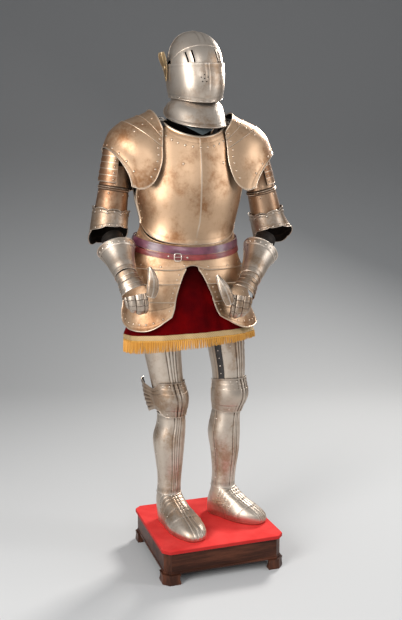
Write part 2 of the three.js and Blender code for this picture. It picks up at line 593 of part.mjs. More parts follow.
function helmet() {
  const head = new THREE.Group();
  head.position.set(HEAD.x, HEAD.y, HEAD.z);
  head.rotation.set(0, rad(HEAD.roll), rad(HEAD.turn), "ZYX");
  suit.add(head);
  // The skull runs over the crown, then down the nape.
  plate("helm_skull", "grey_steel", { cols: 12, rows: 10, parent: head }, (u, v) => {
    const side = mix(SKULL.side, -SKULL.side, u);
    if (v < 0.72) return onBall(SKULL, side, mix(SKULL.low, 180, v / 0.72));
    const z = mix(0, -110, (v - 0.72) / 0.28);
    const row = read(NAPE, z);
    return new THREE.Vector3(row.side * boxed(Math.sin(rad(side))), row.back * boxed(Math.cos(rad(side))), z);
  });
  // The visor has two upright sight slots before each eye.
  const slots = SIGHTS.at.flatMap((a) => [a - SIGHTS.width / 2, a + SIGHTS.width / 2]);
  const sides = [-76, -66, -55, ...slots, -8, 8, 55, 66, 76].sort((a, b) => a - b);
  const lifts = [VISOR.low, SIGHTS.low, (SIGHTS.low + SIGHTS.high) / 2, SIGHTS.high, 34, 50, 66, VISOR.high];
  plate("helm_visor", "grey_steel", {
    cols: sides.map((a) => (a + VISOR.side) / (2 * VISOR.side)),
    rows: lifts.map((b) => (b - VISOR.low) / (VISOR.high - VISOR.low)),
    parent: head,
    open: (u, v) => {
      const side = mix(-VISOR.side, VISOR.side, u);
      const lift = mix(VISOR.low, VISOR.high, v);
      return lift > SIGHTS.low && lift < SIGHTS.high && SIGHTS.at.some((a) => Math.abs(side - a) < SIGHTS.width / 2);
    } }, (u, v) => {
    const lift = mix(VISOR.low, VISOR.high, v);
    const lean = SIGHTS.slant * (smooth(lift, SIGHTS.low, SIGHTS.high) - 0.5) * (1 - smooth(lift, 20, 50));
    return onBall(VISOR, mix(-VISOR.side, VISOR.side, u) - lean, lift);
  });
  // The chin piece stands outside the visor and carries a ring of breath holes.
  const chin = plate("helm_bevor", "grey_steel", { cols: 18, rows: [0, 0.1, 0.3, 0.5, 0.75, 1], parent: head }, (u, v) => {
    const angle = mix(-102, 102, u);
    const far = Math.abs(angle) / 102;
    const z = mix(-130 + 36 * far ** 1.4, -3 + 16 * far ** 2, v);
    const row = read(CHIN, z);
    const depth = Math.cos(rad(angle)) > 0 ? row.front : row.back;
    return new THREE.Vector3(row.side * boxed(Math.sin(rad(angle))), -depth * boxed(Math.cos(rad(angle))), z);
  });
  const holes = Array.from({ length: BREATHS.count }, (_, i) => {
    const a = Math.PI / 2 + (i / BREATHS.count) * 2 * Math.PI;
    return [BREATHS.x + BREATHS.ring * Math.cos(a), BREATHS.z + BREATHS.ring * Math.sin(a)];
  });
  let solid = toSolid(chin.geometry);
  for (const [x, z] of [[BREATHS.x, BREATHS.z], ...holes]) {
    const drill = new THREE.CylinderGeometry(BREATHS.width / 2, BREATHS.width / 2, 60, 8);
    drill.translate(x, -120, z);
    drill.deleteAttribute("uv");
    drill.deleteAttribute("normal");
    solid = solid.subtract(toSolid(drill));
  }
  chin.geometry = fromSolid(solid);
  // A flared side plate stands over the pivot at each temple.
  for (const [hand, side] of [["right", -1], ["left", 1]]) {
    plate(`helm_side_plate_${hand}`, "pale_brass", { cols: 2, rows: 5, wall: 2, parent: head }, (u, v) => {
      const taper = mix(0.45, 1, smooth(v, 0, 0.6)) * (1 - 0.35 * Math.abs(2 * v - 1) ** 3);
      const y = mix(-17, 17, side > 0 ? u : 1 - u) * taper;
      const flare = side > 0 ? 2 : 15 + 0.5 * y;
      return new THREE.Vector3(side * (104 + flare * smooth(v, 0.3, 1)), y, mix(-44, 50, v));
    });
  }
  // Neck plates in front and behind, tucked up inside the chin piece and the nape.
  plate("helm_neck_front", "grey_steel", { cols: 16, rows: 4 }, (u, v) => {
    const angle = mix(-112, 112, u);
    const high = 1662 - 17 * smooth(Math.abs(angle), 80, 98);
    const z = mix(1547 + 84 * (Math.abs(angle) / 112) ** 1.9, high, v);
    return onRing(read(NECK, z), angle, z);
  });
  plate("helm_neck_back", "grey_steel", { cols: 12, rows: 3 }, (u, v) => {
    const angle = mix(114, 246, u);
    const z = mix(1610 + 10 * Math.cos(rad(angle)) ** 4, 1645, v);
    return onRing(read(NECK, z), angle, z);
  });
  // The cloth collar lies under the neck plates and ends in a point on the chest.
  plate("collar", "slate_cloth", { cols: 20, rows: 2, wrap: true, wall: VELVET }, (u, v) => {
    const angle = u * 360 - 180;
    const low = 1526 + 64 * Math.abs(Math.sin(rad(angle))) ** 1.1 + 48 * smooth(Math.abs(angle), 90, 150);
    const z = mix(Math.min(low, 1590), 1640, v);
    return onRing(read(COLLAR, z), angle, z);
  });
}

plinth();
legs();
torso();
hipPlates();
skirt();
arms();
helmet();

export default suit;
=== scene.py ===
"""A suit of plate armour with a velvet skirt, standing on a cloth-covered wooden plinth.

Every surface is worked out in millimetres, +Z up, the suit facing -Y, +X on its left hand.
"right" and "left" are the wearer's. Meshes are written in metres.
"""
import math

import bpy
import numpy as np
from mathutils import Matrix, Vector


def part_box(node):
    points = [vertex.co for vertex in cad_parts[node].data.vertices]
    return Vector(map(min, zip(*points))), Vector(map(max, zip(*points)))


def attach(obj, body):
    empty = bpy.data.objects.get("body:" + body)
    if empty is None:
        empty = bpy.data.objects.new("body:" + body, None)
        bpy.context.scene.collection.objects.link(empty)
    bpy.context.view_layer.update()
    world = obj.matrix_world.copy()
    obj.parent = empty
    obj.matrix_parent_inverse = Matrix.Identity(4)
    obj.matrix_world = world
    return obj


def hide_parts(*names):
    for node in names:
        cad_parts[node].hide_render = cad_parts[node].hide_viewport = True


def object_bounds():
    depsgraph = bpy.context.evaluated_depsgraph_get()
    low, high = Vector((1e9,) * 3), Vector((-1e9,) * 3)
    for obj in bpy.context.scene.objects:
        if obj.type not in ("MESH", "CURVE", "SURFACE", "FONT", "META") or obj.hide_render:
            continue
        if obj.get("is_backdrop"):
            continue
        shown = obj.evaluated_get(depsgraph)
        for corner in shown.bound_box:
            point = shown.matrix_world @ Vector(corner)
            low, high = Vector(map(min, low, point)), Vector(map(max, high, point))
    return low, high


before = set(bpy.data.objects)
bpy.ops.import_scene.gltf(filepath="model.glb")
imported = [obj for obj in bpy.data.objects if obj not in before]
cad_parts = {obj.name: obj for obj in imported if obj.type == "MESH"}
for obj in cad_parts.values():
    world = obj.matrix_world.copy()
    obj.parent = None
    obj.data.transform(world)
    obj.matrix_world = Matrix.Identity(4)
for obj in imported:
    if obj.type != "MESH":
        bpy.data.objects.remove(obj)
solid_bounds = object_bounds()
rng = np.random.default_rng(7)

# ------------------------------------------------------------------ the shop floor: tools
# Small functions shared by every piece: curves through short tables, soft steps and ridges,
# and the one mesh builder that walls, rolled edges, rivets and cords are gathered into.

PLATE, LEATHER, VELVET = 1.8, 2.5, 2.0
RIGHT, LEFT = -1, 1
HANDS = (("right", RIGHT), ("left", LEFT))
INSIDE = 9                     # the look number of every plate's unpolished inner face


def mix(a, b, t):
    """Straight blend from a to b."""
    return a + (b - a) * t


def soft(x, low, high):
    """0 below low, 1 above high, an S curve between."""
    t = np.clip((x - low) / (high - low), 0.0, 1.0)
    return t * t * (3 - 2 * t)


def hump(x, centre, width):
    """A smooth ridge 1 high at centre that ends width away on both sides."""
    t = np.clip(np.abs(x - centre) / width, 0.0, 1.0)
    return (1 - t * t) ** 2


def stack(*parts):
    """Joins coordinate arrays into points."""
    return np.stack(np.broadcast_arrays(*parts), axis=-1).astype(float)


def unit(v):
    """Vectors scaled to length 1."""
    v = np.asarray(v, float)
    return v / np.maximum(np.linalg.norm(v, axis=-1, keepdims=True), 1e-9)


def table(columns, rows):
    """A short table; calling it with keys gives every column on a smooth curve through the rows:
    a cubic from row to row whose slope at each row is that of the chord of its neighbours."""
    names = columns.split()
    data = np.array(rows, float)
    keys = data[:, 0]

    def look(key):
        k = np.clip(np.asarray(key, float), keys.min(), keys.max())
        i = np.clip(np.searchsorted(keys, k, side="left") - 1, 0, len(keys) - 2)
        a, b = data[i], data[i + 1]
        before, after = data[np.maximum(i - 1, 0)], data[np.minimum(i + 2, len(keys) - 1)]
        span = (b - a)[..., :1]
        t = (k[..., None] - a[..., :1]) / span
        slope_a = (b - before) / (b - before)[..., :1] * span
        slope_b = (after - a) / (after - a)[..., :1] * span
        t2, t3 = t * t, t * t * t
        out = ((2 * t3 - 3 * t2 + 1) * a + (t3 - 2 * t2 + t) * slope_a
               + (3 * t2 - 2 * t3) * b + (t3 - t2) * slope_b)
        return {name: out[..., n] for n, name in enumerate(names)}

    return look


def on_ring(row, angle, z):
    """A level ring: x = middle + side * sin, y = middle - depth * cos, with one depth in front
    of the middle and another behind. 0 degrees is the front, 90 the suit's left."""
    a = np.radians(angle)
    depth = np.where(np.cos(a) > 0, row["front"], row["back"])
    return stack(row["x"] + row["side"] * np.sin(a), row["y"] - depth * np.cos(a), z)


def grown(row, by):
    """The same ring, larger by a distance all round."""
    return {**row, "side": row["side"] + by, "front": row["front"] + by, "back": row["back"] + by}


def lines(count, *marks, gap=0.004):
    """Even grid lines from 0 to 1, with a close pair on each side of every mark."""
    even = [x for x in np.linspace(0, 1, count + 1) if all(abs(x - m) > 2 * gap for m in marks)]
    pairs = [m + s * gap for m in marks for s in (-0.5, 0.5)]
    around = [m + s * gap * 2.5 for m in marks for s in (-1, 1)]
    keep = [x for x in around if 0 < x < 1]
    return np.unique(np.clip(np.concatenate([even, pairs, keep, [0, 1]]), 0, 1))


def tiles(v, *edges, rise=1.6):
    """Lames that overlap like roof tiles: each stands out by rise at its low-v edge and sinks
    to nothing where it slides under the next one below it."""
    ends = np.array([0.0, *edges, 1.0])
    i = np.clip(np.searchsorted(ends, v, side="right") - 1, 0, len(ends) - 2)
    t = (v - ends[i]) / (ends[i + 1] - ends[i])
    return rise * (1 - t)


class Piece:
    """Gathers the walls, rolls, rivets and straps of one piece into one mesh."""

    def __init__(self):
        self.points, self.faces, self.worn, self.looks, self.maps = [], [], [], [], []
        self.count = 0

    def add(self, points, faces, worn=0.0, look=0, maps=None, inside=()):
        """Adds points and blocks of faces, with each point's wear and painted shade (above 0 rubbed
        bright, below 0 painted shade), the look's number, and which blocks are a plate's blackened inside."""
        points = np.asarray(points, float).reshape(-1, 3)
        self.points.append(points)
        self.worn.append(np.broadcast_to(np.ravel(worn).astype(float), (len(points),)))
        self.maps.append(np.zeros((len(points), 3)) if maps is None else maps.reshape(-1, 3))
        for number, block in enumerate(faces):
            block = np.asarray(block) + self.count
            self.faces += block.tolist()
            self.looks += [INSIDE if number in inside else look] * len(block)
        self.count += len(points)

    def wall(self, point, cols, rows, wrap=False, thick=PLATE, lift=0.0, relief=None,
             skip=None, worn=None, look=0, place=None, plate=True,
             crease=0.75):
        """A closed wall over point(u, v): an outer face pushed out along the surface by
        lift + relief(u, v), an inner face a wall's thickness behind it, and rims all round."""
        us = lines(cols) if np.isscalar(cols) else np.asarray(cols)
        vs = lines(rows) if np.isscalar(rows) else np.asarray(rows)
        surface = Surface(point, wrap, lift, relief, place)
        across = len(us) - 1 if wrap else len(us)
        u, v = np.meshgrid(us[:across], vs)
        outer, inner = surface(u, v), surface(u, v, -thick)
        ids = np.arange(u.size).reshape(u.shape)
        grid = np.concatenate([ids, ids[:, :1]], axis=1) if wrap else ids
        a, b, c, d = grid[:-1, :-1], grid[:-1, 1:], grid[1:, 1:], grid[1:, :-1]
        mid_u, mid_v = np.meshgrid((us[1:] + us[:-1]) / 2, (vs[1:] + vs[:-1]) / 2)
        kept = np.ones(a.shape, bool) if skip is None else ~skip(mid_u, mid_v)
        framed = np.pad(kept, 1)
        if wrap:
            framed[:, 0], framed[:, -1] = framed[:, -2], framed[:, 1]
        n = u.size
        blocks = [np.stack([a, b, c, d], -1)[kept], np.stack([a + n, d + n, c + n, b + n], -1)[kept]]
        for p, q, beyond in ((a, b, framed[:-2, 1:-1]), (b, c, framed[1:-1, 2:]),
                             (c, d, framed[2:, 1:-1]), (d, a, framed[1:-1, :-2])):
            rim = kept & ~beyond
            blocks.append(np.stack([q, p, p + n, q + n], -1)[rim])
        shade = np.zeros(u.shape) if worn is None else np.broadcast_to(worn(u, v), u.shape)
        # Painted shade: where the relief lies below the mean of its neighbours the point is painted darker, by crease
        # times the depth; raised points are painted up to 0.3 lighter.
        if relief is not None:
            height = np.broadcast_to(relief(u, v), u.shape)
            shade = shade + np.clip((height - blurred(height)) * crease, -1, 0.3)
        wide = np.linalg.norm(np.diff(outer[len(vs) // 2], axis=0), axis=-1).sum()
        tall = np.linalg.norm(np.diff(outer[:, across // 2], axis=0), axis=-1).sum()
        chart = stack(u * wide, v * tall, 0) / 1000
        self.add(np.concatenate([outer.reshape(-1, 3), inner.reshape(-1, 3)]), blocks,
                 np.tile(shade.ravel(), 2), look, np.tile(chart.reshape(-1, 3), (2, 1)),
                 (1,) if plate else ())
        return surface

    def roll(self, path, radius, closed=False, worn=1.0, look=0, sides=8):
        """A round bar along a path: circles square to the path, its ends closed."""
        path = np.asarray(path, float)
        count = len(path)
        if closed:
            ahead, behind = np.roll(path, -1, 0), np.roll(path, 1, 0)
        else:
            ahead = np.vstack([path[1:], 2 * path[-1:] - path[-2:-1]])
            behind = np.vstack([2 * path[:1] - path[1:2], path[:-1]])
        along = unit(ahead - behind)
        side = np.empty_like(along)
        guess = np.array([0.31, 0.17, 0.93])
        for i in range(count):
            guess = unit(guess - along[i] * guess.dot(along[i]))
            side[i] = guess
        third = np.cross(along, side)
        turn = np.arange(sides) / sides * 2 * np.pi
        size = np.broadcast_to(np.asarray(radius, float), (count,))[:, None, None]
        rings = path[:, None] + size * (np.cos(turn)[None, :, None] * side[:, None]
                                        + np.sin(turn)[None, :, None] * third[:, None])
        ids = np.arange(count * sides).reshape(count, sides)
        nxt = np.roll(ids, -1, 1)
        upper = np.roll(ids, -1, 0) if closed else ids[1:]
        upper_next = np.roll(nxt, -1, 0) if closed else nxt[1:]
        low, low_next = (ids, nxt) if closed else (ids[:-1], nxt[:-1])
        blocks = [np.stack([low, low_next, upper_next, upper], -1).reshape(-1, 4)]
        if not closed:
            blocks += [ids[:1, ::-1], ids[-1:]]
        self.add(rings, blocks, worn, look)

    def rivets(self, points, normals, radius=4.1, height=2.1, worn=0.7, look=0):
        """Domed rivet heads standing on a surface, with painted shade round their feet."""
        points, normals = np.reshape(points, (-1, 3)), unit(np.reshape(normals, (-1, 3)))
        guess = np.where(np.abs(normals[:, 2:]) > 0.9, [[1.0, 0, 0]], [[0, 0, 1.0]])
        x = unit(np.cross(guess, normals))
        y = np.cross(normals, x)
        turn = np.arange(10) / 10 * 2 * np.pi
        verts = []
        for r, h in ((1.12, -0.3), (1.0, 0.3), (0.66, 0.82)):
            verts.append(points[:, None] + radius * r * (np.cos(turn)[None, :, None] * x[:, None]
                         + np.sin(turn)[None, :, None] * y[:, None]) + height * h * normals[:, None])
        verts.append((points + height * normals)[:, None])
        verts = np.concatenate(verts, axis=1)
        ring = np.arange(10)
        nxt = np.roll(ring, -1)
        quads = np.concatenate([np.stack([ring + k, nxt + k, nxt + k + 10, ring + k + 10], -1)
                                for k in (0, 10)])
        caps = np.stack([ring + 20, nxt + 20, np.full(10, 30)], -1)
        base = (np.arange(len(points)) * 31)[:, None, None]
        # Painted shade: the ring at each rivet's foot is painted darkest and the next ring a little dark; the dome
        # keeps its own wear value.
        tone = np.concatenate([np.full(10, -1.0), np.full(10, -0.25), np.full(11, worn)])
        self.add(verts, [(quads[None] + base).reshape(-1, 4), (caps[None] + base).reshape(-1, 3),
                         (ring[::-1][None, None] + base).reshape(-1, 10)], np.tile(tone, len(points)), look)

    def make(self, name, body, replaced, slot, looks, sharp=36):
        """Writes the mesh in metres, shades it smooth between sharp edges, and gives it its body,
        the solids it stands for and its material."""
        mesh = bpy.data.meshes.new(name)
        mesh.from_pydata((np.concatenate(self.points) / 1000).tolist(), [], self.faces)
        # Each point's value: above 0 rubbed bright, below 0 painted shade.
        mesh.attributes.new("worn", "FLOAT", "POINT").data.foreach_set("value", np.concatenate(self.worn))
        chart = mesh.attributes.new("chart", "FLOAT_VECTOR", "POINT")
        chart.data.foreach_set("vector", np.concatenate(self.maps).ravel())
        numbers = np.array(self.looks, np.int32)
        for look in looks + ([BLACKED] if (numbers == INSIDE).any() else []):
            mesh.materials.append(look)
        numbers[numbers == INSIDE] = len(looks)
        mesh.polygons.foreach_set("material_index", numbers)
        mesh.polygons.foreach_set("use_smooth", np.ones(len(self.faces), bool))
        mesh.set_sharp_from_angle(angle=math.radians(sharp))
        mesh.update()
        obj = bpy.data.objects.new(name, mesh)
        bpy.context.scene.collection.objects.link(obj)
        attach(obj, body)
        if replaced:
            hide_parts(*replaced)
        return obj


class Surface:
    """point(u, v) pushed out along its own normal by lift + relief(u, v), then put in place."""

    def __init__(self, point, wrap=False, lift=0.0, relief=None, place=None):
        self.point, self.wrap, self.lift, self.relief, self.place = point, wrap, lift, relief, place

    def bare(self, u, v):
        """The plain surface, with u wrapped or held between 0 and 1 and v held."""
        u = np.mod(u, 1.0) if self.wrap else np.clip(u, 0, 1)
        return self.point(u, np.clip(v, 0, 1))

    def normal(self, u, v, placed=True):
        """The cross product of the steps along u and along v."""
        s = 1e-3
        n = unit(np.cross(self.bare(u + s, v) - self.bare(u - s, v),
                          self.bare(u, v + s) - self.bare(u, v - s)))
        if placed and self.place is not None:
            n = self.place(n) - self.place(np.zeros(3))
        return n

    def __call__(self, u, v, out=0.0):
        u, v = np.broadcast_arrays(np.asarray(u, float), np.asarray(v, float))
        height = self.lift + out + (0 if self.relief is None else self.relief(u, v))
        p = self.bare(u, v) + self.normal(u, v, placed=False) * np.broadcast_to(height, u.shape)[..., None]
        return p if self.place is None else self.place(p)

    def edge_u(self, v, out=0.0, start=0.0, end=1.0, count=90):
        """The curve at one v."""
        u = np.linspace(start, end, count, endpoint=not self.wrap or end - start < 1)
        return self(u, np.full_like(u, v), out)

    def edge_v(self, u, out=0.0, start=0.0, end=1.0, count=50):
        """The curve at one u."""
        v = np.linspace(start, end, count)
        return self(np.full_like(v, u), v, out)

    def border(self, out=0.0, inset=0.0, count=60):
        """The closed curve round all four edges, or just inside them."""
        a, b = inset, 1 - inset
        t = np.linspace(a, b, count)[:-1]
        u = np.concatenate([t, np.full(count - 1, b), t[::-1] + (b - t[-1]), np.full(count - 1, a)])
        v = np.concatenate([np.full(count - 1, a), t, np.full(count - 1, b), t[::-1] + (b - t[-1])])
        return self(u, v, out)


def blurred(field, reach=2):
    """The mean of each value and its neighbours within reach rows and columns."""
    wide = np.pad(field, reach, mode="edge")
    span = range(2 * reach + 1)
    return sum(wide[i:i + field.shape[0], j:j + field.shape[1]] for i in span for j in span) / len(span) ** 2


def edge_wear(amount=0.7, width=0.02):
    """Worn bright towards all four edges of a wall."""
    return lambda u, v: amount * np.maximum.reduce(
        [1 - soft(u, 0, width), soft(u, 1 - width, 1), 1 - soft(v, 0, width), soft(v, 1 - width, 1)])


# ------------------------------------------------------------------ materials
# Steel with an old warm patina, dull brass, glazed leathers, velvet, gold braid, red felt and
# dark polished wood, each worked out from noise on the piece's own coordinates.


class Wire:
    """An output of a shader node. + - * and / add the node that does the sum."""

    def __init__(self, tree, socket):
        self.tree, self.socket = tree, socket

    def node(self, kind, settings=None, inputs=None, output=0):
        """Adds a node: its settings, then values or wires for its inputs."""
        node = self.tree.nodes.new(kind)
        for key, value in (settings or {}).items():
            setattr(node, key, value)
        for key, value in (inputs or {}).items():
            if isinstance(value, Wire):
                self.tree.links.new(value.socket, node.inputs[key])
            else:
                node.inputs[key].default_value = value
        return Wire(self.tree, node.outputs[output])

    def sum(self, operation, a, b):
        return self.node("ShaderNodeMath", {"operation": operation}, {0: a, 1: b})

    def __add__(self, other):
        return self.sum("ADD", self, other)

    def __sub__(self, other):
        return self.sum("SUBTRACT", self, other)

    def __rsub__(self, other):
        return self.sum("SUBTRACT", other, self)

    def __mul__(self, other):
        return self.sum("MULTIPLY", self, other)

    def __truediv__(self, other):
        return self.sum("DIVIDE", self, other)

    __radd__ = __add__
    __rmul__ = __mul__

    def sine(self):
        """The sine of this."""
        return self.node("ShaderNodeMath", {"operation": "SINE"}, {0: self})

    def ramp(self, low, high):
        """0 below low and 1 above high, with a soft step between."""
        return self.node("ShaderNodeMapRange", {"interpolation_type": "SMOOTHSTEP"},
                         {"Value": self, "From Min": low, "From Max": high})

    def noise(self, scale, detail=4.0, rough=0.55, stretch=(1, 1, 1)):
        """Cloudy noise over a vector, from 0 to 1."""
        spot = self.node("ShaderNodeVectorMath", {"operation": "MULTIPLY"}, {0: self, 1: stretch})
        return spot.node("ShaderNodeTexNoise", None,
                         {"Vector": spot, "Scale": scale, "Detail": detail, "Roughness": rough})

    def tint(self, a, b):
        """Colour a where this is 0 and colour b where it is 1."""
        paint = {}
        for key, value in ((6, a), (7, b)):
            paint[key] = value if isinstance(value, Wire) else (*value, 1.0)
        return self.node("ShaderNodeMix", {"data_type": "RGBA"}, {0: self, **paint}, 2)


class Look:
    """A material: its coordinates and attributes as wires, and its one shader."""

    def __init__(self, name, **constants):
        self.material = bpy.data.materials.new(name)
        self.material.use_nodes = True
        self.tree = self.material.node_tree
        self.shader = self.tree.nodes["Principled BSDF"]
        self.set(**constants)
        self.object = self.start("ShaderNodeTexCoord", "Object")
        self.worn = self.start("ShaderNodeAttribute", "Fac", attribute_name="worn")
        self.chart = self.start("ShaderNodeAttribute", "Vector", attribute_name="chart")

    def start(self, kind, output, **settings):
        node = self.tree.nodes.new(kind)
        for key, value in settings.items():
            setattr(node, key, value)
        return Wire(self.tree, node.outputs[output])

    def set(self, **values):
        """Sets inputs of the shader, by name with _ for a space."""
        for key, value in values.items():
            socket = self.shader.inputs[key.replace("_", " ")]
            if isinstance(value, Wire):
                self.tree.links.new(value.socket, socket)
            else:
                socket.default_value = value

    def bump(self, height, strength, distance=0.001):
        """Bends the shading by a height field."""
        self.set(Normal=height.node("ShaderNodeBump", None,
                                    {"Height": height, "Strength": strength, "Distance": distance}))


def steel(name, clean, patina, bright, rough=0.3, cover=(0.35, 0.62), shade_colour=(0.08, 0.052, 0.036)):
    """Hammered plate: patches of patina over clean steel, fine mottling, rubbed bright on edges, and
    painted shade, darker and rougher, in creases, round rivet feet and wherever a point's value is below 0."""
    look = Look(name, Metallic=1.0)
    spot = look.object
    patch = spot.noise(7.0, 5.0, 0.6).ramp(*cover)
    mottle = spot.noise(46.0, 4.0, 0.65)
    speck = spot.noise(420.0, 2.0, 0.5)
    streak = spot.noise(30.0, 3.0, 0.6, (1, 1, 0.22))
    fleck = spot.noise(130.0, 3.0, 0.7)
    colour = (patch * 0.7 + (mottle - 0.5) * 0.8 + (streak - 0.5) * 0.5
              + (fleck - 0.5) * 0.7).ramp(-0.05, 0.95).tint(clean, patina)
    edge = (look.worn * (0.55 + 0.6 * mottle)).ramp(0.1, 0.85)
    # Painted shade: points valued below 0 are painted towards the dark shade colour and made rougher.
    painted_shade = (look.worn * (-0.7 - 0.6 * mottle)).ramp(0.03, 0.75)
    look.set(Base_Color=painted_shade.tint(edge.tint(colour, bright), shade_colour),
             Roughness=rough - 0.03 + 0.14 * mottle + 0.05 * patch - 0.06 * edge + 0.2 * painted_shade)
    look.bump(mottle * 0.7 + speck * 0.12 + streak * 0.3, 0.16, 0.0012)
    return look.material


def leather(name, colour, deep, coat=0.5, rough=0.42):
    """Glazed leather with a fine grain, darker in its creases."""
    look = Look(name, Coat_Roughness=0.25)
    grain = look.object.noise(700.0, 3.0, 0.6)
    patch = look.object.noise(24.0, 4.0, 0.6)
    look.set(Base_Color=patch.ramp(0.3, 0.7).tint(deep, colour), Roughness=rough + 0.14 * (grain - 0.5),
             Coat_Weight=coat)
    look.bump(grain + patch * 0.8, 0.3, 0.0006)
    return look.material


def cloth(name, colour, deep, sheen, fine=900.0, rough=0.9, fold=0.35,
          sheen_tint=(1, 1, 1, 1), gloss=0.2):
    """Woven or felted cloth: cloudy tone, fine nap and a soft sheen, with painted shade where a point's value is below
    0.
    """
    look = Look(name, Sheen_Weight=sheen, Sheen_Roughness=0.45, Roughness=rough)
    look.set(Specular_IOR_Level=gloss, Sheen_Tint=sheen_tint)
    nap = look.object.noise(fine, 2.0, 0.6)
    cloud = look.object.noise(13.0, 4.0, 0.6)
    weave = (cloud * 0.75 + nap * 0.25).ramp(0.3, 0.7).tint(deep, colour)
    # Painted shade: points valued below 0 are painted towards a third of the deep colour.
    look.set(Base_Color=(look.worn * -1.0).ramp(0.0, 1.0).tint(weave, tuple(0.3 * c for c in deep)))
    look.bump(nap * 0.5 + cloud * fold, 0.4, 0.0012)
    return look.material


def braid_look(name, colour, deep):
    """Gold lace: short slanting threads in rows, from the band's own chart."""
    look = Look(name, Metallic=0.35, Roughness=0.55)
    along, across = (look.chart.node("ShaderNodeSeparateXYZ", None, {0: look.chart}, axis) for axis in "XY")
    slant, rows = (along * 900 + across * 700).sine(), (across * 1500).sine()
    weave = slant * 0.5 + rows * 0.35 + look.object.noise(300.0) * 0.5
    look.set(Base_Color=weave.ramp(-0.5, 0.9).tint(deep, colour))
    look.bump(weave, 0.5, 0.0008)
    return look.material


def wood(name, colour, deep, stretch):
    """Dark polished wood: long grain with a thin varnish."""
    look = Look(name, Coat_Weight=0.05, Coat_Roughness=0.3, Specular_IOR_Level=0.15)
    grain = look.object.noise(26.0, 6.0, 0.65, stretch)
    pore = look.object.noise(220.0, 3.0, 0.6, stretch)
    look.set(Base_Color=(grain * 0.8 + pore * 0.2).ramp(0.38, 0.66).tint(deep, colour),
             Roughness=0.36 + 0.2 * (pore - 0.3))
    look.bump(grain * 0.5 + pore * 0.5, 0.25, 0.0006)
    return look.material


RUSSET = steel("russet_steel", (0.66, 0.44, 0.28), (0.36, 0.17, 0.075), (0.86, 0.73, 0.58), 0.39,
               (0.40, 0.66))
# A darker copy of the russet steel: painted shade for the arm lames and upper cannons under the shoulder plates.
RUSSET_SHADED = steel("russet_steel_shaded", (0.48, 0.31, 0.20), (0.27, 0.13, 0.065), (0.72, 0.58, 0.45), 0.38)
GREY = steel("grey_steel", (0.66, 0.565, 0.475), (0.40, 0.265, 0.17), (0.85, 0.78, 0.70), 0.37, (0.40, 0.68))
GREY_BROWN = steel("grey_steel_browned", (0.55, 0.46, 0.38), (0.33, 0.215, 0.135), (0.80, 0.72, 0.63), 0.36)
DARK = steel("dark_steel", (0.06, 0.05, 0.045), (0.03, 0.024, 0.02), (0.16, 0.14, 0.12), 0.45)
BLACKED = steel("blackened_inside", (0.035, 0.028, 0.024), (0.016, 0.012, 0.010), (0.06, 0.05, 0.04), 0.6)
BRASS = steel("pale_brass", (0.58, 0.40, 0.21), (0.34, 0.20, 0.10), (0.80, 0.64, 0.42), 0.38)
PURPLE = leather("purple_leather", (0.24, 0.07, 0.11), (0.11, 0.028, 0.05), 0.8, 0.30)
RED_STRAP = leather("red_leather", (0.34, 0.05, 0.045), (0.18, 0.022, 0.022), 0.5, 0.40)
BLACK = leather("black_leather", (0.028, 0.022, 0.02), (0.010, 0.008, 0.008), 0.3, 0.45)
SLATE = cloth("slate_cloth", (0.095, 0.115, 0.12), (0.05, 0.062, 0.066), 0.15)
CRIMSON = cloth("crimson_velvet", (0.15, 0.0006, 0.0012), (0.06, 0.0003, 0.0016), 0.05, 1400.0, 0.8,
                sheen_tint=(0.8, 0.01, 0.03, 1), gloss=0.03)
BRAID = braid_look("gold_braid", (0.66, 0.47, 0.24), (0.38, 0.23, 0.09))
FRINGE = braid_look("gold_fringe", (0.80, 0.42, 0.08), (0.50, 0.21, 0.03))
RED_FELT = cloth("red_cloth", (0.92, 0.058, 0.052), (0.80, 0.03, 0.028), 0.12, 1100.0, 0.85, 0.2,
                 sheen_tint=(1.0, 0.4, 0.35, 1))
WOOD_X = wood("dark_wood", (0.11, 0.035, 0.018), (0.034, 0.011, 0.006), (0.16, 1, 1.6))
WOOD_Z = wood("dark_wood_upright", (0.13, 0.045, 0.024), (0.042, 0.016, 0.010), (1, 1, 0.2))

# ------------------------------------------------------------------ plinth
# A low box of dark polished wood with canted corners on four bracket feet, under a thin board
# wrapped in red felt. The box is boards glued round a frame; the felt is tacked under the edge.

PLINTH_X, WIDTH, DEPTH, TOP, BOARD, CANT, OVERHANG = 25, 447, 425, 124, 12, 22, 4
FOOT_REACH, FOOT_THICK, FOOT_HEIGHT, FOOT_PROUD = 62, 14, 36, 6
FELT = 1.6


def canted(width, depth, cant):
    """The eight corners of a rectangle with its corners cut off, anticlockwise."""
    x, y, c = width / 2, depth / 2, cant
    return np.array([(x - c, -y), (x, -y + c), (x, y - c), (x - c, y),
                     (-x + c, y), (-x, y - c), (-x, -y + c), (-x + c, -y)])


def rounded(outline, radius, steps=4):
    """An outline with each corner replaced by a short curve that leaves it radius away."""
    out = []
    for i, corner in enumerate(outline):
        a = corner + radius * unit(outline[i - 1] - corner)
        b = corner + radius * unit(outline[(i + 1) % len(outline)] - corner)
        for t in np.linspace(0, 1, steps):
            out.append((1 - t) ** 2 * a + 2 * t * (1 - t) * corner + t * t * b)
    return np.array(out)


def prism(piece, outline, low, high, soften=1.5):
    """An upright block over an outline, its top and bottom edges softened."""
    outline = np.asarray(outline, float)
    middle = outline.mean(0)
    shrink = 1 - soften / np.abs(outline - middle).max()
    rings = []
    for z, s in ((low, shrink), (low + soften, 1), (high - soften, 1), (high, shrink)):
        ring = middle + (outline - middle) * s
        rings.append(stack(ring[:, 0] + PLINTH_X, ring[:, 1], z))
    n = len(outline)
    ids = np.arange(4 * n).reshape(4, n)
    nxt = np.roll(ids, -1, 1)
    piece.add(np.concatenate(rings), [np.stack([ids[:-1], nxt[:-1], nxt[1:], ids[1:]], -1).reshape(-1, 4),
                                      ids[:1, ::-1], ids[-1:]])


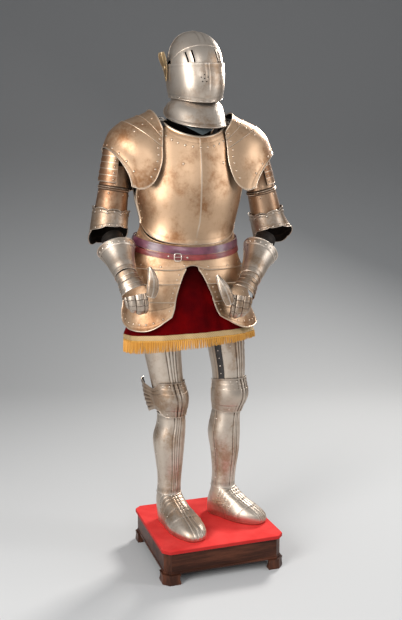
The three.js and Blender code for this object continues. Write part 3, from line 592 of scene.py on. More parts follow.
box_width, box_depth = WIDTH - 2 * OVERHANG, DEPTH - 2 * OVERHANG
board_low = TOP - BOARD
for end, sy in (("front", -1), ("back", 1)):
    for hand, sx in HANDS:
        x, y = box_width / 2 + FOOT_PROUD, box_depth / 2 + FOOT_PROUD
        inner, k = FOOT_THICK + FOOT_PROUD, CANT * 0.8
        shape = np.array([(x - CANT, y), (x, y - CANT), (x, y - FOOT_REACH), (x - inner, y - FOOT_REACH),
                          (x - inner, y - k - inner / 2), (x - k - inner / 2, y - inner),
                          (x - FOOT_REACH, y - inner), (x - FOOT_REACH, y)]) * (sx, sy)
        if sx * sy > 0:
            shape = shape[::-1]
        foot = Piece()
        # the bracket swells towards the floor and pinches in under the box
        middle = np.array([(x - 20) * sx, (y - 20) * sy])
        rings, heights = [], np.array([0, 3, 8, 14, 20, 26, 31, FOOT_HEIGHT - 1.5, FOOT_HEIGHT])
        for z in heights:
            lean = 1 - 0.10 * hump(z, 22, 16) - 0.05 * (z == 0)
            ring = middle + (shape - middle) * lean
            rings.append(stack(ring[:, 0] + PLINTH_X, ring[:, 1], z))
        n = len(shape)
        ids = np.arange(len(heights) * n).reshape(len(heights), n)
        nxt = np.roll(ids, -1, 1)
        foot.add(np.concatenate(rings), [np.stack([ids[:-1], nxt[:-1], nxt[1:], ids[1:]], -1).reshape(-1, 4),
                                         ids[:1, ::-1], ids[-1:]])
        foot.make(f"bracket_foot_{end}_{hand}", "suit", [f"plinth_foot_{end}_{hand}"], "dark_wood", [WOOD_Z])

box = Piece()
outer = canted(box_width, box_depth, CANT)
inner = canted(box_width - 36, box_depth - 36, CANT * 0.8)
low, high = FOOT_HEIGHT + 0.3, board_low - 0.3
levels = ((outer, low + 1), (outer, low + 8), (outer * (1 - 2.0 / 220), low + 9.5),
          (outer * (1 - 2.0 / 220), high - 4), (outer, high - 2.5), (outer, high), (inner, high),
          (inner, low), (outer * 0.997, low))
rings = np.stack([stack(r[:, 0] + PLINTH_X, r[:, 1], z) for r, z in levels])
ids = np.arange(rings.shape[0] * 8).reshape(-1, 8)
nxt, up = np.roll(ids, -1, 1), np.roll(ids, -1, 0)
up_nxt = np.roll(nxt, -1, 0)
sides = np.stack([ids, nxt, up_nxt, up], -1)
for block, look in ((sides[:, (1, 3, 5, 7)], 0), (sides[:, (0, 2, 4, 6)], 1)):
    box.faces += block.reshape(-1, 4).tolist()
    box.looks += [look] * (block.shape[0] * 4)
box.points.append(rings.reshape(-1, 3))
box.worn.append(np.zeros(rings.shape[0] * 8))
box.maps.append(np.zeros((rings.shape[0] * 8, 3)))
box.count = rings.shape[0] * 8
box.make("plinth_case", "suit", ["plinth_box"], "dark_wood", [WOOD_X, WOOD_Z], 30)

board = Piece()
prism(board, rounded(canted(WIDTH - 2 * FELT - 1, DEPTH - 2 * FELT - 1, CANT), 4), board_low,
      TOP - FELT - 0.4)
board.make("plinth_board", "suit", ["plinth_top"], "dark_wood", [WOOD_X])

# The felt is one cloth over the board: flat on top, turned down round the edge on a soft radius.
cover = Piece()
edge = rounded(canted(WIDTH, DEPTH, CANT), 3, 4)
edge_count = len(edge)


def on_cover(u, v):
    """From the middle of the top outwards along rays to the edge, then down its side."""
    k = u * edge_count
    i = np.floor(k).astype(int) % edge_count
    rim = edge[i] + (edge[(i + 1) % edge_count] - edge[i]) * (k - np.floor(k))[..., None]
    top = np.clip(v / 0.9, 0, 1)
    down = soft(v, 0.88, 1.0)
    waves = (0.5 * np.sin(17 * u * 2 * np.pi) * soft(v, 0.5, 0.9)
             + 0.35 * np.sin(41 * u * 2 * np.pi) * soft(v, 0.86, 0.92))
    scale = mix(0.004, 1, top) * (1 - 0.006 * (1 - soft(v, 0.84, 0.9)))
    z = (TOP - (BOARD - 0.6) * np.clip((v - 0.9) / 0.1, 0, 1) - 1.2 * soft(v, 0.86, 0.9) * (1 - down)
         - 0.3 + waves * 0.25)
    return stack(PLINTH_X + rim[..., 0] * scale, rim[..., 1] * scale, z)


# Painted shade: the felt's turned-down side is painted darker than its top.
cover.wall(on_cover, edge_count * 3, np.concatenate([np.linspace(0, 0.86, 22), np.linspace(0.87, 1, 14)]),
           wrap=True, thick=FELT - 0.2, plate=False, worn=lambda u, v: -0.55 * soft(v, 0.89, 0.91))
felt = cover.make("plinth_felt", "suit", ["plinth_top"], "red_cloth", [RED_FELT], 50)

# ------------------------------------------------------------------ feet and legs
# Closed greaves, cuisses hinged down the side, and knee plates with an outer fan wing, all
# grey hammered steel with raised flutes; broad-toed foot plates of riveted lames.

GROUND = TOP + 0.4
LEGS = {
    "right": dict(turn=10, outer=-1, sole=(-97, 26), toe=10, long=(1, 0.96), path=table("z x y", [
        (124, -106, 46), (233, -106, 46), (300, -103, 46), (380, -105, 40), (448, -106, 36),
        (510, -99, 32), (600, -106, 28), (690, -121, 26), (780, -134, 24), (900, -146, 20)])),
    "left": dict(turn=26, outer=1, sole=(107, 54), toe=35, long=(0.915, 0.84), path=table("z x y", [
        (124, 110, 46), (233, 109, 46), (300, 114, 46), (380, 115, 40), (448, 112, 36),
        (510, 114, 32), (600, 121, 28), (690, 120, 26), (780, 110, 24), (900, 96, 20)])),
}
SHIN = table("z side front back", [
    (236, 43, 45, 46), (300, 44, 44, 50), (360, 50, 50, 58), (448, 58, 56, 70),
    (505, 52, 54, 64), (548, 49, 56, 56)])
THIGH = table("z side front back", [
    (632, 58, 61, 58), (690, 60, 64, 62), (780, 67, 70, 70), (890, 73, 76, 76)])
KNEE = table("z side front back", [
    (536, 53, 60, 62), (562, 59, 69, 64), (600, 65, 81, 66), (638, 65, 75, 66), (668, 64, 68, 68)])
SOLE = table("z side front back", [
    (0, 48, 204, 64), (18, 53, 208, 68), (36, 53, 196, 67), (54, 52, 164, 64),
    (72, 49, 124, 58), (92, 46, 80, 51), (112, 42, 46, 46)])
FRONT = np.array([0.0, -1.0, 0.0])


def turned(p, degrees):
    """Points turned about the upright axis."""
    a = np.radians(degrees)
    return stack(p[..., 0] * np.cos(a) - p[..., 1] * np.sin(a),
                 p[..., 0] * np.sin(a) + p[..., 1] * np.cos(a), p[..., 2])


def on_leg(leg, outline, angle, z):
    """A ring of the leg's plate, its front turned out, round the leg's middle at that height."""
    centre = leg["path"](z)
    p = on_ring({**outline(z), "x": 0, "y": 0}, angle, z)
    return turned(p, leg["turn"]) + stack(centre["x"], centre["y"], 0)


def sprinkle(piece, surface, spots, **size):
    """Rivets on a surface at (u, v) spots."""
    u, v = np.array(spots, float).T
    piece.rivets(surface(u, v), surface.normal(u, v), **size)


for hand, side in HANDS:
    leg = LEGS[hand]

    def foot_local(u, v, leg=leg):
        """Rings long to the toe: y = -front * cos, x = side * sin blunted, wider to the toe."""
        row = SOLE(v * 112)
        a = np.radians(u * 360 - 180)
        ahead = np.cos(a) > 0
        long = mix(np.where(ahead, *leg["long"]), 1, soft(row["z"], 16, 104))
        y = -np.where(ahead, row["front"], row["back"]) * long * np.cos(a)
        broad = 1 + 0.36 * soft(-y, 0, 120) * (1 - soft(row["z"], 24, 84))
        x = row["side"] * broad * np.sign(np.sin(a)) * np.abs(np.sin(a)) ** np.where(ahead, 0.72, 1.0)
        return x, y, row["z"]

    def on_foot(u, v, leg=leg):
        """The foot's rings, turned out and shifted from the sole's middle to the ankle's."""
        x, y, z = foot_local(u, v)
        rise = soft(z, 16, 104)
        ankle = leg["path"](np.full_like(z, 236))
        return turned(stack(x, y, 0), mix(leg["toe"], leg["turn"], rise)) + stack(
            mix(leg["sole"][0], ankle["x"], rise), mix(leg["sole"][1], ankle["y"], rise), GROUND + z)

    def foot_relief(u, v):
        """Three flutes from the toe up to the ankle, and six lames arched across the foot, each
        standing out over the next one ahead of it; a thin turned edge above the sole."""
        x, y, z = foot_local(u, v)
        top = soft(z, 10, 22)
        spread = 1 + 0.3 * soft(-y, 60, 200)
        flutes = sum(hump(x, c * spread, 4.4) for c in (-11, 0, 11)) * 2.1 * soft(-y, 10, 40)
        arch = -y + 0.008 * x * x
        ends = np.array([-90, 36, 48, 60, 72, 100, 140, 400])
        i = np.clip(np.searchsorted(ends, arch) - 1, 0, len(ends) - 2)
        t = np.clip((arch - ends[i]) / (ends[i + 1] - ends[i]), 0, 1)
        lames = np.where(i < len(ends) - 2, 1.2 * t, 0) * soft(z, 12, 30)
        return top * flutes + lames - 2.4 * (1 - soft(z, 0, 5)) + 1.2 * hump(z, 9, 3)

    sabaton = Piece()
    t = np.linspace(-1, 1, 141)
    dense = 0.5 + 0.5 * np.sign(t) * np.abs(t) ** 1.5
    surface = sabaton.wall(on_foot, dense, np.concatenate(
        [np.linspace(0, 0.16, 10), np.linspace(0.17, 1, 66)]), wrap=True, relief=foot_relief)
    sprinkle(sabaton, surface, [(0.5 + s * k, 0.50) for s in (-1, 1) for k in (0.17, 0.2)], radius=3.0,
             height=1.6)
    sabaton.make(f"foot_plate_{hand}", "suit", [f"sabaton_{hand}"], "grey_steel", [GREY])

    def shin_relief(u, v):
        """Two medial ridges down the shin, side seams, and flared ends."""
        a = u * 360 - 180
        ridges = 3.0 * hump(a, -9, 5) + 3.0 * hump(a, 9, 5) + 1.4 * hump(a, 0, 4)
        seam = -1.2 * (hump(np.abs(a), 92, 2.4))
        return ridges * soft(v, 0, 0.1) + seam + 1.6 * (1 - soft(v, 0, 0.04)) + 1.4 * soft(v, 0.965, 1)

    greave = Piece()
    surface = greave.wall(lambda u, v, leg=leg: on_leg(leg, SHIN, u * 360 - 180, mix(238, 546, v)),
                          144, 36, wrap=True, relief=shin_relief,
                          worn=lambda u, v: 0.3 * hump(u * 360 - 180, 0, 16) + 0.6 * (v < 0.012)
                          + 0.6 * (v > 0.985))
    greave.roll(surface.edge_u(0.0, 0.2), 1.2, closed=True, worn=0.4)
    greave.roll(surface.edge_u(1.0, 0.2), 1.2, closed=True, worn=0.4)
    for a in (-92, 92):
        sprinkle(greave, surface, [((a + s + 180) / 360, v) for v in (0.12, 0.5, 0.88) for s in (-3.5, 3.5)],
                 radius=3.0, height=1.5)
    greave.make(f"greave_plate_{hand}", "suit", [f"greave_{hand}"], "grey_steel", [GREY])

    def thigh_relief(u, v):
        """Three flutes between two crests that spread upwards, and a raised top border."""
        a = u * 360 - 180
        spread = mix(9, 13, v)
        crests = 3.4 * (hump(a, -spread, 5) + hump(a, spread, 5)) + 2.0 * hump(a, 0, 4)
        return crests + 1.2 * soft(v, 0.93, 0.95) - 1.2 * hump(np.abs(a), 94, 2.4)

    cuisse = Piece()
    surface = cuisse.wall(lambda u, v, leg=leg: on_leg(leg, THIGH, u * 360 - 180, mix(636, 884, v)),
                          144, 30, wrap=True, relief=thigh_relief,
                          worn=lambda u, v: 0.35 * hump(u * 360 - 180, 0, 20) + 0.5 * (v > 0.985))
    cuisse.roll(surface.edge_u(1.0, 0.2), 1.4, closed=True, worn=0.4)
    sprinkle(cuisse, surface, [(0.5 + k / 360, 0.62) for k in (-34, 34)] + [(0.5 + k / 360, 0.9) for k in
             range(-80, 81, 20)], radius=3.2, height=1.8)
    cuisse.make(f"thigh_plate_{hand}", "suit", [f"cuisse_{hand}"], "grey_steel", [GREY])

    def knee_angle(u, leg=leg):
        """The angle at u, further round on the outer side of the leg."""
        return mix(-118, 150, u) if leg["outer"] > 0 else mix(-150, 118, u)

    def on_knee(u, v, leg=leg):
        """The knee plate: full over the knee, narrow beside it, fanned out behind its outer side."""
        around = knee_angle(u, leg)
        out = around * leg["outer"]
        fan = soft(out, 95, 145)
        pinch = soft(out, 45, 88) * (1 - fan)
        height = mix(64, 40, pinch) - 8 * soft(-out, 60, 110)
        z = 602 + (v * 2 - 1) * height
        centre = leg["path"](z)
        axis = stack(centre["x"], centre["y"], z)
        return (on_leg(leg, KNEE, around, z) - axis) * (1 + 0.58 * fan)[..., None] + axis

    def knee_relief(u, v, leg=leg):
        """A medial ridge, lame edges above and below the cap, and flutes across the wing."""
        a = knee_angle(u, leg)
        out = a * leg["outer"]
        wing = soft(out, 92, 118)
        cap = (1 - wing) * (1.6 * soft(v, 0.2, 0.215) - 1.6 * soft(v, 0.70, 0.715)
                            - 1.2 * soft(v, 0.84, 0.855)
                            + 1.2 * soft(v, 0.95, 1))
        ridge = (2.6 * hump(a, 0, 7) + 1.8 * (hump(a, -13, 5) + hump(a, 13, 5)) * (1 - hump(v, 0.46, 0.3)))
        fan = wing * (2.2 * np.cos((v * 2 - 1) * 3.5 * np.pi) ** 2)
        return cap + ridge + fan

    poleyn = Piece()
    surface = poleyn.wall(on_knee, 89, lines(44, 0.207, 0.707, 0.847), relief=knee_relief,
                          worn=edge_wear(0.4, 0.014))
    poleyn.roll(surface.border(0.1), 1.1, closed=True, worn=0.45)
    mid = (118 if side > 0 else 150) / 268
    sprinkle(poleyn, surface, [(mid + k, 0.92) for k in (-0.16, -0.08, 0.08, 0.16)]
             + [(mid + k, 0.1) for k in (-0.16, 0.16)], radius=3.0, height=1.6)
    poleyn.make(f"knee_plate_{hand}", "suit", [f"poleyn_{hand}"], "grey_steel", [GREY_BROWN])

# A dark leather strap lies along the inner side of the left thigh plate.
strap = Piece()


def on_thigh_strap(u, v):
    """A band laid against the thigh's inner side, just proud of the plate."""
    leg = LEGS["left"]
    z = mix(640, 846, v)
    return on_leg(leg, lambda h: grown(THIGH(h), 3.4), mix(-82, -62, u), z)


surface = strap.wall(on_thigh_strap, 6, 22, thick=LEATHER - 1, plate=False)
sprinkle(strap, surface, [(0.5, v) for v in np.linspace(0.08, 0.92, 7)], radius=2.4, height=1.2, look=1)
strap.make("thigh_strap", "suit", [], "black_leather", [BLACK, GREY])

# ------------------------------------------------------------------ breast and back
# Two russet plates buckled at the flanks and over the shoulders: a keeled breastplate with
# rolled neck and arm edges, and a plain backplate. A waist lame shows below at both sides.

TORSO = table("z x y side front back", [
    (1150, -51, 20, 176, 126, 104), (1200, -44, 20, 170, 124, 100), (1240, -38, 20, 173, 132, 102),
    (1318, -38, 20, 190, 146, 114), (1400, -36, 20, 198, 144, 126), (1470, -35, 20, 190, 132, 128),
    (1520, -35, 20, 174, 120, 125), (1560, -34, 20, 162, 98, 120), (1604, -33, 20, 150, 74, 112)])
ARMHOLE = table("z front back", [
    (1150, 84, 86), (1240, 86, 86), (1330, 82, 84), (1400, 62, 68), (1470, 50, 54), (1520, 46, 44),
    (1570, 46, 44), (1604, 46, 43)])
HIPS = table("z x y side front back", [
    (780, -28, 20, 256, 160, 154), (840, -29, 20, 253, 160, 152), (900, -38, 20, 246, 161, 150),
    (950, -42, 20, 243, 160, 148), (1000, -46, 20, 236, 157, 144), (1050, -50, 20, 224, 151, 138),
    (1093, -53, 20, 210, 144, 130), (1130, -53, 20, 198, 138, 120), (1160, -52, 20, 190, 134, 112),
    (1200, -47, 20, 180, 131, 108), (1240, -42, 20, 181, 137, 110)])


def on_breast(u, v):
    """Bowed below and hollowed at the neck, with a low keel down the middle."""
    s = u * 2 - 1
    z = mix(1160 + 72 * np.abs(s) ** 2.4, 1518 + 52 * np.abs(s) ** 1.8, v)
    angle = s * ARMHOLE(z)["front"]
    row = TORSO(z)
    keel = 1 + 0.035 * soft(z, 1140, 1220) * np.maximum(0, 1 - np.abs(angle) / 22)
    return on_ring({**row, "front": row["front"] * keel}, angle, z)


def breast_relief(u, v):
    """A crisp keel, a sunk border under the rolled neck edge, and a raised one at the waist."""
    s = u * 2 - 1
    return (0.8 * hump(s, 0, 0.02) * soft(v, 0.05, 0.2) + 1.0 * soft(v, 0.952, 0.962)
            + 0.8 * (1 - soft(v, 0.028, 0.036)) + 0.8 * soft(np.abs(s), 0.955, 0.965))


breast = Piece()
surface = breast.wall(on_breast, lines(89, 0.5), 71, relief=breast_relief,
                      worn=lambda u, v: np.maximum(edge_wear(0.6, 0.02)(u, v), 0.35 * hump(u, 0.5, 0.02)))
breast.roll(surface.edge_u(1.0, 1.5), 4.2, worn=0.7)
breast.roll(surface.edge_v(0.0, 0.8), 3.0, worn=0.8)
breast.roll(surface.edge_v(1.0, 0.8), 3.0, worn=0.8)
breast.roll(surface.edge_u(0.0, 0.3), 2.0, worn=0.6)
sprinkle(breast, surface, [(u, 0.905) for u in np.linspace(0.08, 0.92, 11)], radius=4.3, height=2.2)
sprinkle(breast, surface,
         [(0.03, v) for v in np.linspace(0.08, 0.5, 7)] + [(0.97, v) for v in np.linspace(0.08, 0.5, 7)],
         radius=3.8, height=2.0)
sprinkle(breast, surface, [(0.34, 0.735), (0.735, 0.735)], radius=4.8, height=3.4, worn=0.65)
breast.make("breast_plate", "suit", ["breastplate"], "russet_steel", [RUSSET])


def on_back(u, v):
    """Plain and full at the shoulder blades, with a shallow hollow down the spine."""
    s = u * 2 - 1
    z = mix(1178 + 20 * s * s, 1600 - 16 * s * s, v)
    return on_ring(TORSO(z), 180 + s * ARMHOLE(z)["back"], z)


back = Piece()
surface = back.wall(on_back, 67, 52,
                    relief=lambda u, v: -2.2 * hump(u, 0.5, 0.09) * soft(v, 0.1, 0.4)
                    * (1 - soft(v, 0.7, 0.95)),
                    worn=edge_wear(0.6, 0.015))
back.roll(surface.edge_u(1.0, 0.8), 3.0, worn=0.8)
back.roll(surface.edge_v(0.0, 0.5), 2.4, worn=0.7)
back.roll(surface.edge_v(1.0, 0.5), 2.4, worn=0.7)
sprinkle(back, surface, [(u, 0.93) for u in np.linspace(0.1, 0.9, 8)], radius=4.1, height=2.0)
back.make("back_plate", "suit", ["backplate"], "dark_steel", [RUSSET])


def on_waist(u, v):
    """Across the front; both edges rise to the flanks as powers of the distance from the middle."""
    s = u * 2 - 1
    z = mix(1124 + 50 * s * s, 1159 + 72 * np.abs(s) ** 2.4, v)
    return on_ring(HIPS(z), s * 86, z)


waist = Piece()
surface = waist.wall(on_waist, 67, 10, lift=-0.5, relief=lambda u, v: -7.5 * soft(v, 0.35, 1),
                     worn=edge_wear(0.4, 0.03))
sprinkle(waist, surface, [(u, 0.5) for u in (0.05, 0.12, 0.2, 0.3, 0.7, 0.8, 0.88, 0.95)], radius=3.5,
         height=1.8)
waist.make("waist_plate", "suit", ["waist_lame"], "russet_steel", [RUSSET])


def buckle_ring(piece, centre, across, up, width, height, bar=1.6, look=0):
    """A rounded rectangular buckle frame with a tongue across it."""
    centre, across, up = np.array(centre, float), unit(across), unit(up)
    t = np.linspace(0, 2 * np.pi, 33)[:-1]
    square = lambda x: np.sign(x) * np.abs(x) ** 0.45
    ring = (centre + (width / 2 * square(np.cos(t)))[:, None] * across
            + (height / 2 * square(np.sin(t)))[:, None] * up)
    piece.roll(ring, bar, closed=True, worn=0.8, look=look)
    ends = np.linspace(-0.5, 0.62, 8)[:, None]
    piece.roll(centre + ends * width * across + unit(np.cross(across, up)) * 1.2, bar * 0.7, worn=0.8,
               look=look)


for hand, side in HANDS:
    def on_shoulder_strap(u, v, side=side):
        """An arch of leather from the breastplate over to the backplate."""
        a = np.radians(mix(4, 176, u if side > 0 else 1 - u))
        x = mix(92, 107, v) if side > 0 else mix(-162, -146, v)
        reach = np.where(np.cos(a) > 0, 86, 97)
        return stack(x, 21 - reach * np.cos(a), 1552 + 42 * np.sin(a))

    shoulder = Piece()
    surface = shoulder.wall(on_shoulder_strap, 44, 4, thick=LEATHER, plate=False,
                            relief=lambda u, v: 0.5 * hump(v, 0.5, 0.45))
    front = 0.2 if side > 0 else 0.8
    across = surface(front + 0.01, 0.5) - surface(front - 0.01, 0.5)
    up = surface(front, 0.9) - surface(front, 0.1)
    buckle_ring(shoulder, surface(front, 0.5, 1.6), across, up, 17, 21, look=1)
    shoulder.make(f"shoulder_leather_{hand}", "suit", [f"shoulder_strap_{hand}"], "black_leather",
                  [BLACK, GREY])

    flank = Piece()
    surface = flank.wall(lambda u, v, side=side: on_ring(TORSO(mix(1248, 1360, v)),
                                                         side * 90 + (u * 2 - 1) * 12, mix(1248, 1360, v)),
                         16, 30, thick=LEATHER, lift=-6, plate=False)
    buckle_ring(flank, surface(0.5, 0.5, 1.6), surface(0.6, 0.5) - surface(0.4, 0.5),
                surface(0.5, 0.55) - surface(0.5, 0.45), 20, 26, look=1)
    flank.make(f"flank_strap_{hand}", "suit", [f"side_strap_{hand}"], "black_leather", [BLACK, GREY])

# ------------------------------------------------------------------ belts
# A broad glazed purple belt slung over a narrower red strap, both sagging at the front; the
# red one closes with a small steel buckle at the wearer's right of the middle.


def belt(low, high, lift, sag):
    """A band round the hips: its height drops at the front by sag times a power of (1 + cos)."""
    piece = Piece()

    def on_belt(u, v):
        """The ring of the hips at a height that dips in front."""
        angle = u * 360 - 180
        z = mix(low, high, v) - sag * (np.cos(np.radians(angle)) * 0.5 + 0.5) ** 2.2
        return on_ring(HIPS(z), angle, z)

    surface = piece.wall(on_belt, 133, 9, wrap=True, thick=LEATHER, lift=lift, plate=False,
                         relief=lambda u, v: 0.9 * hump(v, 0.5, 0.5) - 0.35 * hump(v, 0.12, 0.04)
                         - 0.35 * hump(v, 0.88, 0.04))
    return piece, surface


upper, surface = belt(1176, 1201, 6, 50)
upper.make("purple_belt", "suit", ["belt_upper"], "purple_leather", [PURPLE])
lower, surface = belt(1153, 1171, 4.2, 46)
sprinkle(lower, surface, [(0.5 + a / 360, 0.5) for a in (-27.5, -9)], radius=3.6, height=2.2, look=1)
lower.make("red_belt", "suit", ["belt_lower"], "red_leather", [RED_STRAP, GREY])
lo, hi = (np.array(corner) * 1000 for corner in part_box("belt_buckle"))
buckle = Piece()
middle = (lo + hi) / 2 + (0, 0.4, 0)
tilt = np.radians(-13)
buckle_ring(buckle, middle, (math.cos(tilt), math.sin(tilt), 0), (0, 0, 1), 23, 25, 1.5)
buckle.make("steel_buckle", "suit", ["belt_buckle"], "grey_steel", [GREY])

# ------------------------------------------------------------------ fauld, tassets and rump plate
# Lames hung on leathers below the waist: one right across, then two and a large rounded end
# plate on each thigh, with rolled edges and rivets along the arch between them.

ARCH = table("z angle",
             [(850, 31), (880, 26), (907, 22), (942, 18.5), (968, 17), (1003, 14.5), (1054, 9.5), (1078, 6)])
ARCH_TURN = -4


def on_fauld(u, v):
    """Across the front; the lower edge rises in a bell curve over the arch, and at the flanks."""
    angle = (u * 2 - 1) * 96
    low = 1075 + 16 * np.exp(-(((angle - ARCH_TURN) / 9) ** 2)) + 10 * soft(np.abs(angle), 20, 90)
    z = mix(low, 1121 + 48 * (angle / 86) ** 2, v)
    return on_ring(HIPS(z), angle, z)


fauld = Piece()
surface = fauld.wall(on_fauld, 96, 19, lift=-1, relief=lambda u, v: 0.9 * (1 - soft(v, 0.1, 0.16)),
                     worn=edge_wear(0.7, 0.03))
fauld.roll(surface.edge_u(0.0, 0.4), 2.0, worn=0.65)
sprinkle(fauld, surface, [(0.5 + s * k, 0.2) for s in (-1, 1) for k in (0.06, 0.18, 0.3, 0.42)],
         radius=3.8, height=2.0)
fauld.make("fauld_lame", "suit", ["fauld"], "russet_steel", [RUSSET])

culet = Piece()
surface = culet.wall(lambda u, v: on_ring(HIPS(mix(1030, 1182, v)), mix(97, 263, u), mix(1030, 1182, v)), 80,
                     lines(36, 0.33, 0.66), lift=-1,
                     relief=lambda u, v: tiles(v, 0.33, 0.66, rise=1.8) - 1.2, worn=edge_wear(0.6, 0.02))
culet.roll(surface.edge_u(0.0, 0.4), 2.2, worn=0.8)
sprinkle(culet, surface, [(u, v) for v in (0.12, 0.45, 0.78) for u in (0.08, 0.3, 0.7, 0.92)], radius=3.8,
         height=2.0)
culet.make("rump_plate", "suit", ["culet"], "dark_steel", [RUSSET])

for hand, side in HANDS:
    def across(u, z, outer, side=side):
        """The angle at u, from the edge of the arch at that height to the outer end."""
        inner = ARCH(z)["angle"] + side * ARCH_TURN
        return mix(inner, outer, u) if side > 0 else -mix(outer, inner, u)

    def on_lames(u, v):
        """A band of the rings of the hips, its lower half 2 mm further in."""
        z = mix(966, 1090, v)
        tuck = 2 * (1 - soft(v, 0.44, 0.5))
        return on_ring(grown(HIPS(z), -tuck), across(u, z, 94), z)

    lames = Piece()
    surface = lames.wall(on_lames, 59, lines(33, 0.47), lift=-4.5,
                         relief=lambda u, v: 1.2 * hump(v, 0.5, 0.03),
                         worn=lambda u, v: np.maximum(edge_wear(0.8, 0.025)(u, v),
                                                      0.8 * hump(v, 0.49, 0.02)))
    lames.roll(surface.edge_u(0.49, 0.5), 1.7, worn=0.65)
    lames.roll(surface.edge_u(0.0, 0.2), 1.7, worn=0.8)
    near = 0.05 if side > 0 else 0.95
    lames.roll(surface.edge_v(0.0 if side > 0 else 1.0, 0.2), 1.7, worn=0.65)
    sprinkle(lames, surface, [(near, v) for v in (0.12, 0.26, 0.4, 0.62, 0.76, 0.9)]
             + [(1 - near, v) for v in (0.2, 0.7)] + [(0.5, v) for v in (0.2, 0.7)], radius=3.5, height=2.0)
    lames.make(f"thigh_lames_{hand}", "suit", [f"tasset_lames_{hand}"], "russet_steel", [RUSSET])

    def on_tasset(u, v, side=side):
        """The rounded end plate: its lower edge is a flat-bottomed bow that flares at the hem."""
        s = u if side > 0 else 1 - u
        z = mix(918 - 56 * (1 - np.abs(2 * s - 1) ** 2.6) + 16 * s * s, 980, v)
        row = HIPS(z)
        flare = 12 * soft(960 - z, 0, 80)
        return on_ring({**row, "side": row["side"] + flare, "front": row["front"] + flare},
                       across(u, np.maximum(z, 900), 90), z)

    tasset = Piece()
    surface = tasset.wall(on_tasset, 67, 37, lift=-10,
                          relief=lambda u, v: 1.0 * (1 - soft(v, 0.1, 0.13)) + 1.2 * soft(v, 0.62, 0.6),
                          worn=edge_wear(0.7, 0.03))
    tasset.roll(np.concatenate([surface.edge_v(0.0, 0.6)[::-1], surface.edge_u(0.0, 0.6),
                                surface.edge_v(1.0, 0.6)]), 2.6, worn=0.65)
    sprinkle(tasset, surface,
             [(u, 0.2) for u in np.linspace(0.1, 0.9, 8)] + [(near, v) for v in (0.45, 0.7)], radius=3.6,
             height=2.0)
    tasset.make(f"thigh_end_plate_{hand}", "suit", [f"tasset_plate_{hand}"], "russet_steel", [RUSSET])

# ------------------------------------------------------------------ skirt
# A short skirt of crimson velvet, gathered under the waist lames into eleven soft pleats, with
# a woven gold braid sewn on its hem and a loose gold fringe below that.

PLEATS, HEM, BRAID_WIDE, FRINGE_LONG = 11, 850, 16, 36


def on_skirt(angle, z, out=0.0):
    """The hips' rings brought inwards, with a cosine of eleven pleats that deepen to the hem."""
    fall = soft(1140 - z, 0, 300)
    behind = soft(np.abs(angle), 105, 135)
    wave = (2.4 + 5 * behind) * fall * np.cos(np.radians(angle * PLEATS))
    crease = (1.7 * fall * np.sin(np.radians(angle * 29 + 20 * np.sin(np.radians(angle * 5))))
              + 0.5 * np.sin(z / 9 + angle / 17))
    return on_ring(grown(HIPS(z),
                         -(26 - 5 * fall - 10 * soft(870 - z, 0, 30) - out - wave) + 0.7 * crease), angle, z)


def hem(angle):
    """Height of the lower edge of the cloth, a little higher in front and on the left."""
    return HEM + 8 * np.cos(np.radians(angle / 2)) ** 6 + 8 * np.sin(np.radians(angle))


def round_angle(u):
    """Once round: behind, right, front, left and back again."""
    return u * 360 - 180


# Painted shadow: the velvet darkens towards its top, where it hangs in the shadow of the fauld.
velvet = Piece()
velvet.wall(lambda u, v: on_skirt(round_angle(u), mix(hem(round_angle(u)), 1122, v)), 216, 36, wrap=True,
            thick=VELVET, plate=False,
            worn=lambda u, v: -0.75 * soft(v, 0.3, 0.75))
skirt = velvet.make("velvet_skirt", "suit", ["skirt"], "crimson_velvet", [CRIMSON], 60)

braid = Piece()
braid.wall(lambda u, v: on_skirt(round_angle(u), hem(round_angle(u)) - 0.6 - BRAID_WIDE * (1 - v)), 216,
           10, wrap=True,
           thick=VELVET, lift=0.8, plate=False,
           relief=lambda u, v: 0.5 * (hump(v, 0.1, 0.1) + hump(v, 0.9, 0.1))
           + 0.35 * np.cos(u * 2 * np.pi * 180) ** 2)
braid_piece = braid.make("gold_braid", "suit", ["skirt_braid"], "gold_braid", [BRAID], 60)

fringe = Piece()
fringe.wall(lambda u, v: on_skirt(round_angle(u), hem(round_angle(u)) - 1.2 - BRAID_WIDE - 5 * (1 - v),
                                  1), 240, 3,
                   wrap=True, thick=3.6, plate=False)
count, levels = 760, 5
at = (np.arange(count) + rng.uniform(-0.3, 0.3, count)) / count * 360 - 180
long = FRINGE_LONG * (1 - 0.34 * np.sin(np.radians(at))) - rng.uniform(0, 4, count)
t = np.linspace(0, 1, levels)[None, :]
lean = rng.normal(0, 0.42, count)[:, None] * t ** 1.6
z = hem(at)[:, None] - 1.2 - BRAID_WIDE - 3 - (long - 3)[:, None] * t
spine = on_skirt(at[:, None] + lean, z, rng.uniform(-1.9, -0.6, count)[:, None] + 0.4)
radius = np.array([1.05, 1.25, 1.2, 1.1, 0.7])
ring = np.arange(5) / 5 * 2 * np.pi
aim = np.radians(at)[:, None, None]
along = stack(np.cos(aim), np.sin(aim), 0)
outward = stack(np.sin(aim), -np.cos(aim), 0)
tubes = spine[:, :, None] + radius[None, :, None, None] * (np.cos(ring)[None, None, :, None] * along
                                                           + np.sin(ring)[None, None, :, None] * outward)
ids = np.arange(levels * 5).reshape(levels, 5)
nxt = np.roll(ids, -1, 1)
quads = np.stack([ids[:-1], ids[1:], nxt[1:], nxt[:-1]], -1).reshape(-1, 4)
base = (np.arange(count) * levels * 5)[:, None, None]
fringe.add(tubes,
           [(quads[None] + base).reshape(-1, 4), (ids[:1][None] + base).reshape(-1, 5),
            (ids[-1:, ::-1][None] + base).reshape(-1, 5)],
           0.0, 0, np.broadcast_to(stack(at / 250, 0, 0)[:, None, None], tubes.shape).copy())
fringe_piece = fringe.make("gold_fringe", "suit", ["skirt_fringe"], "gold_fringe", [FRINGE], 60)

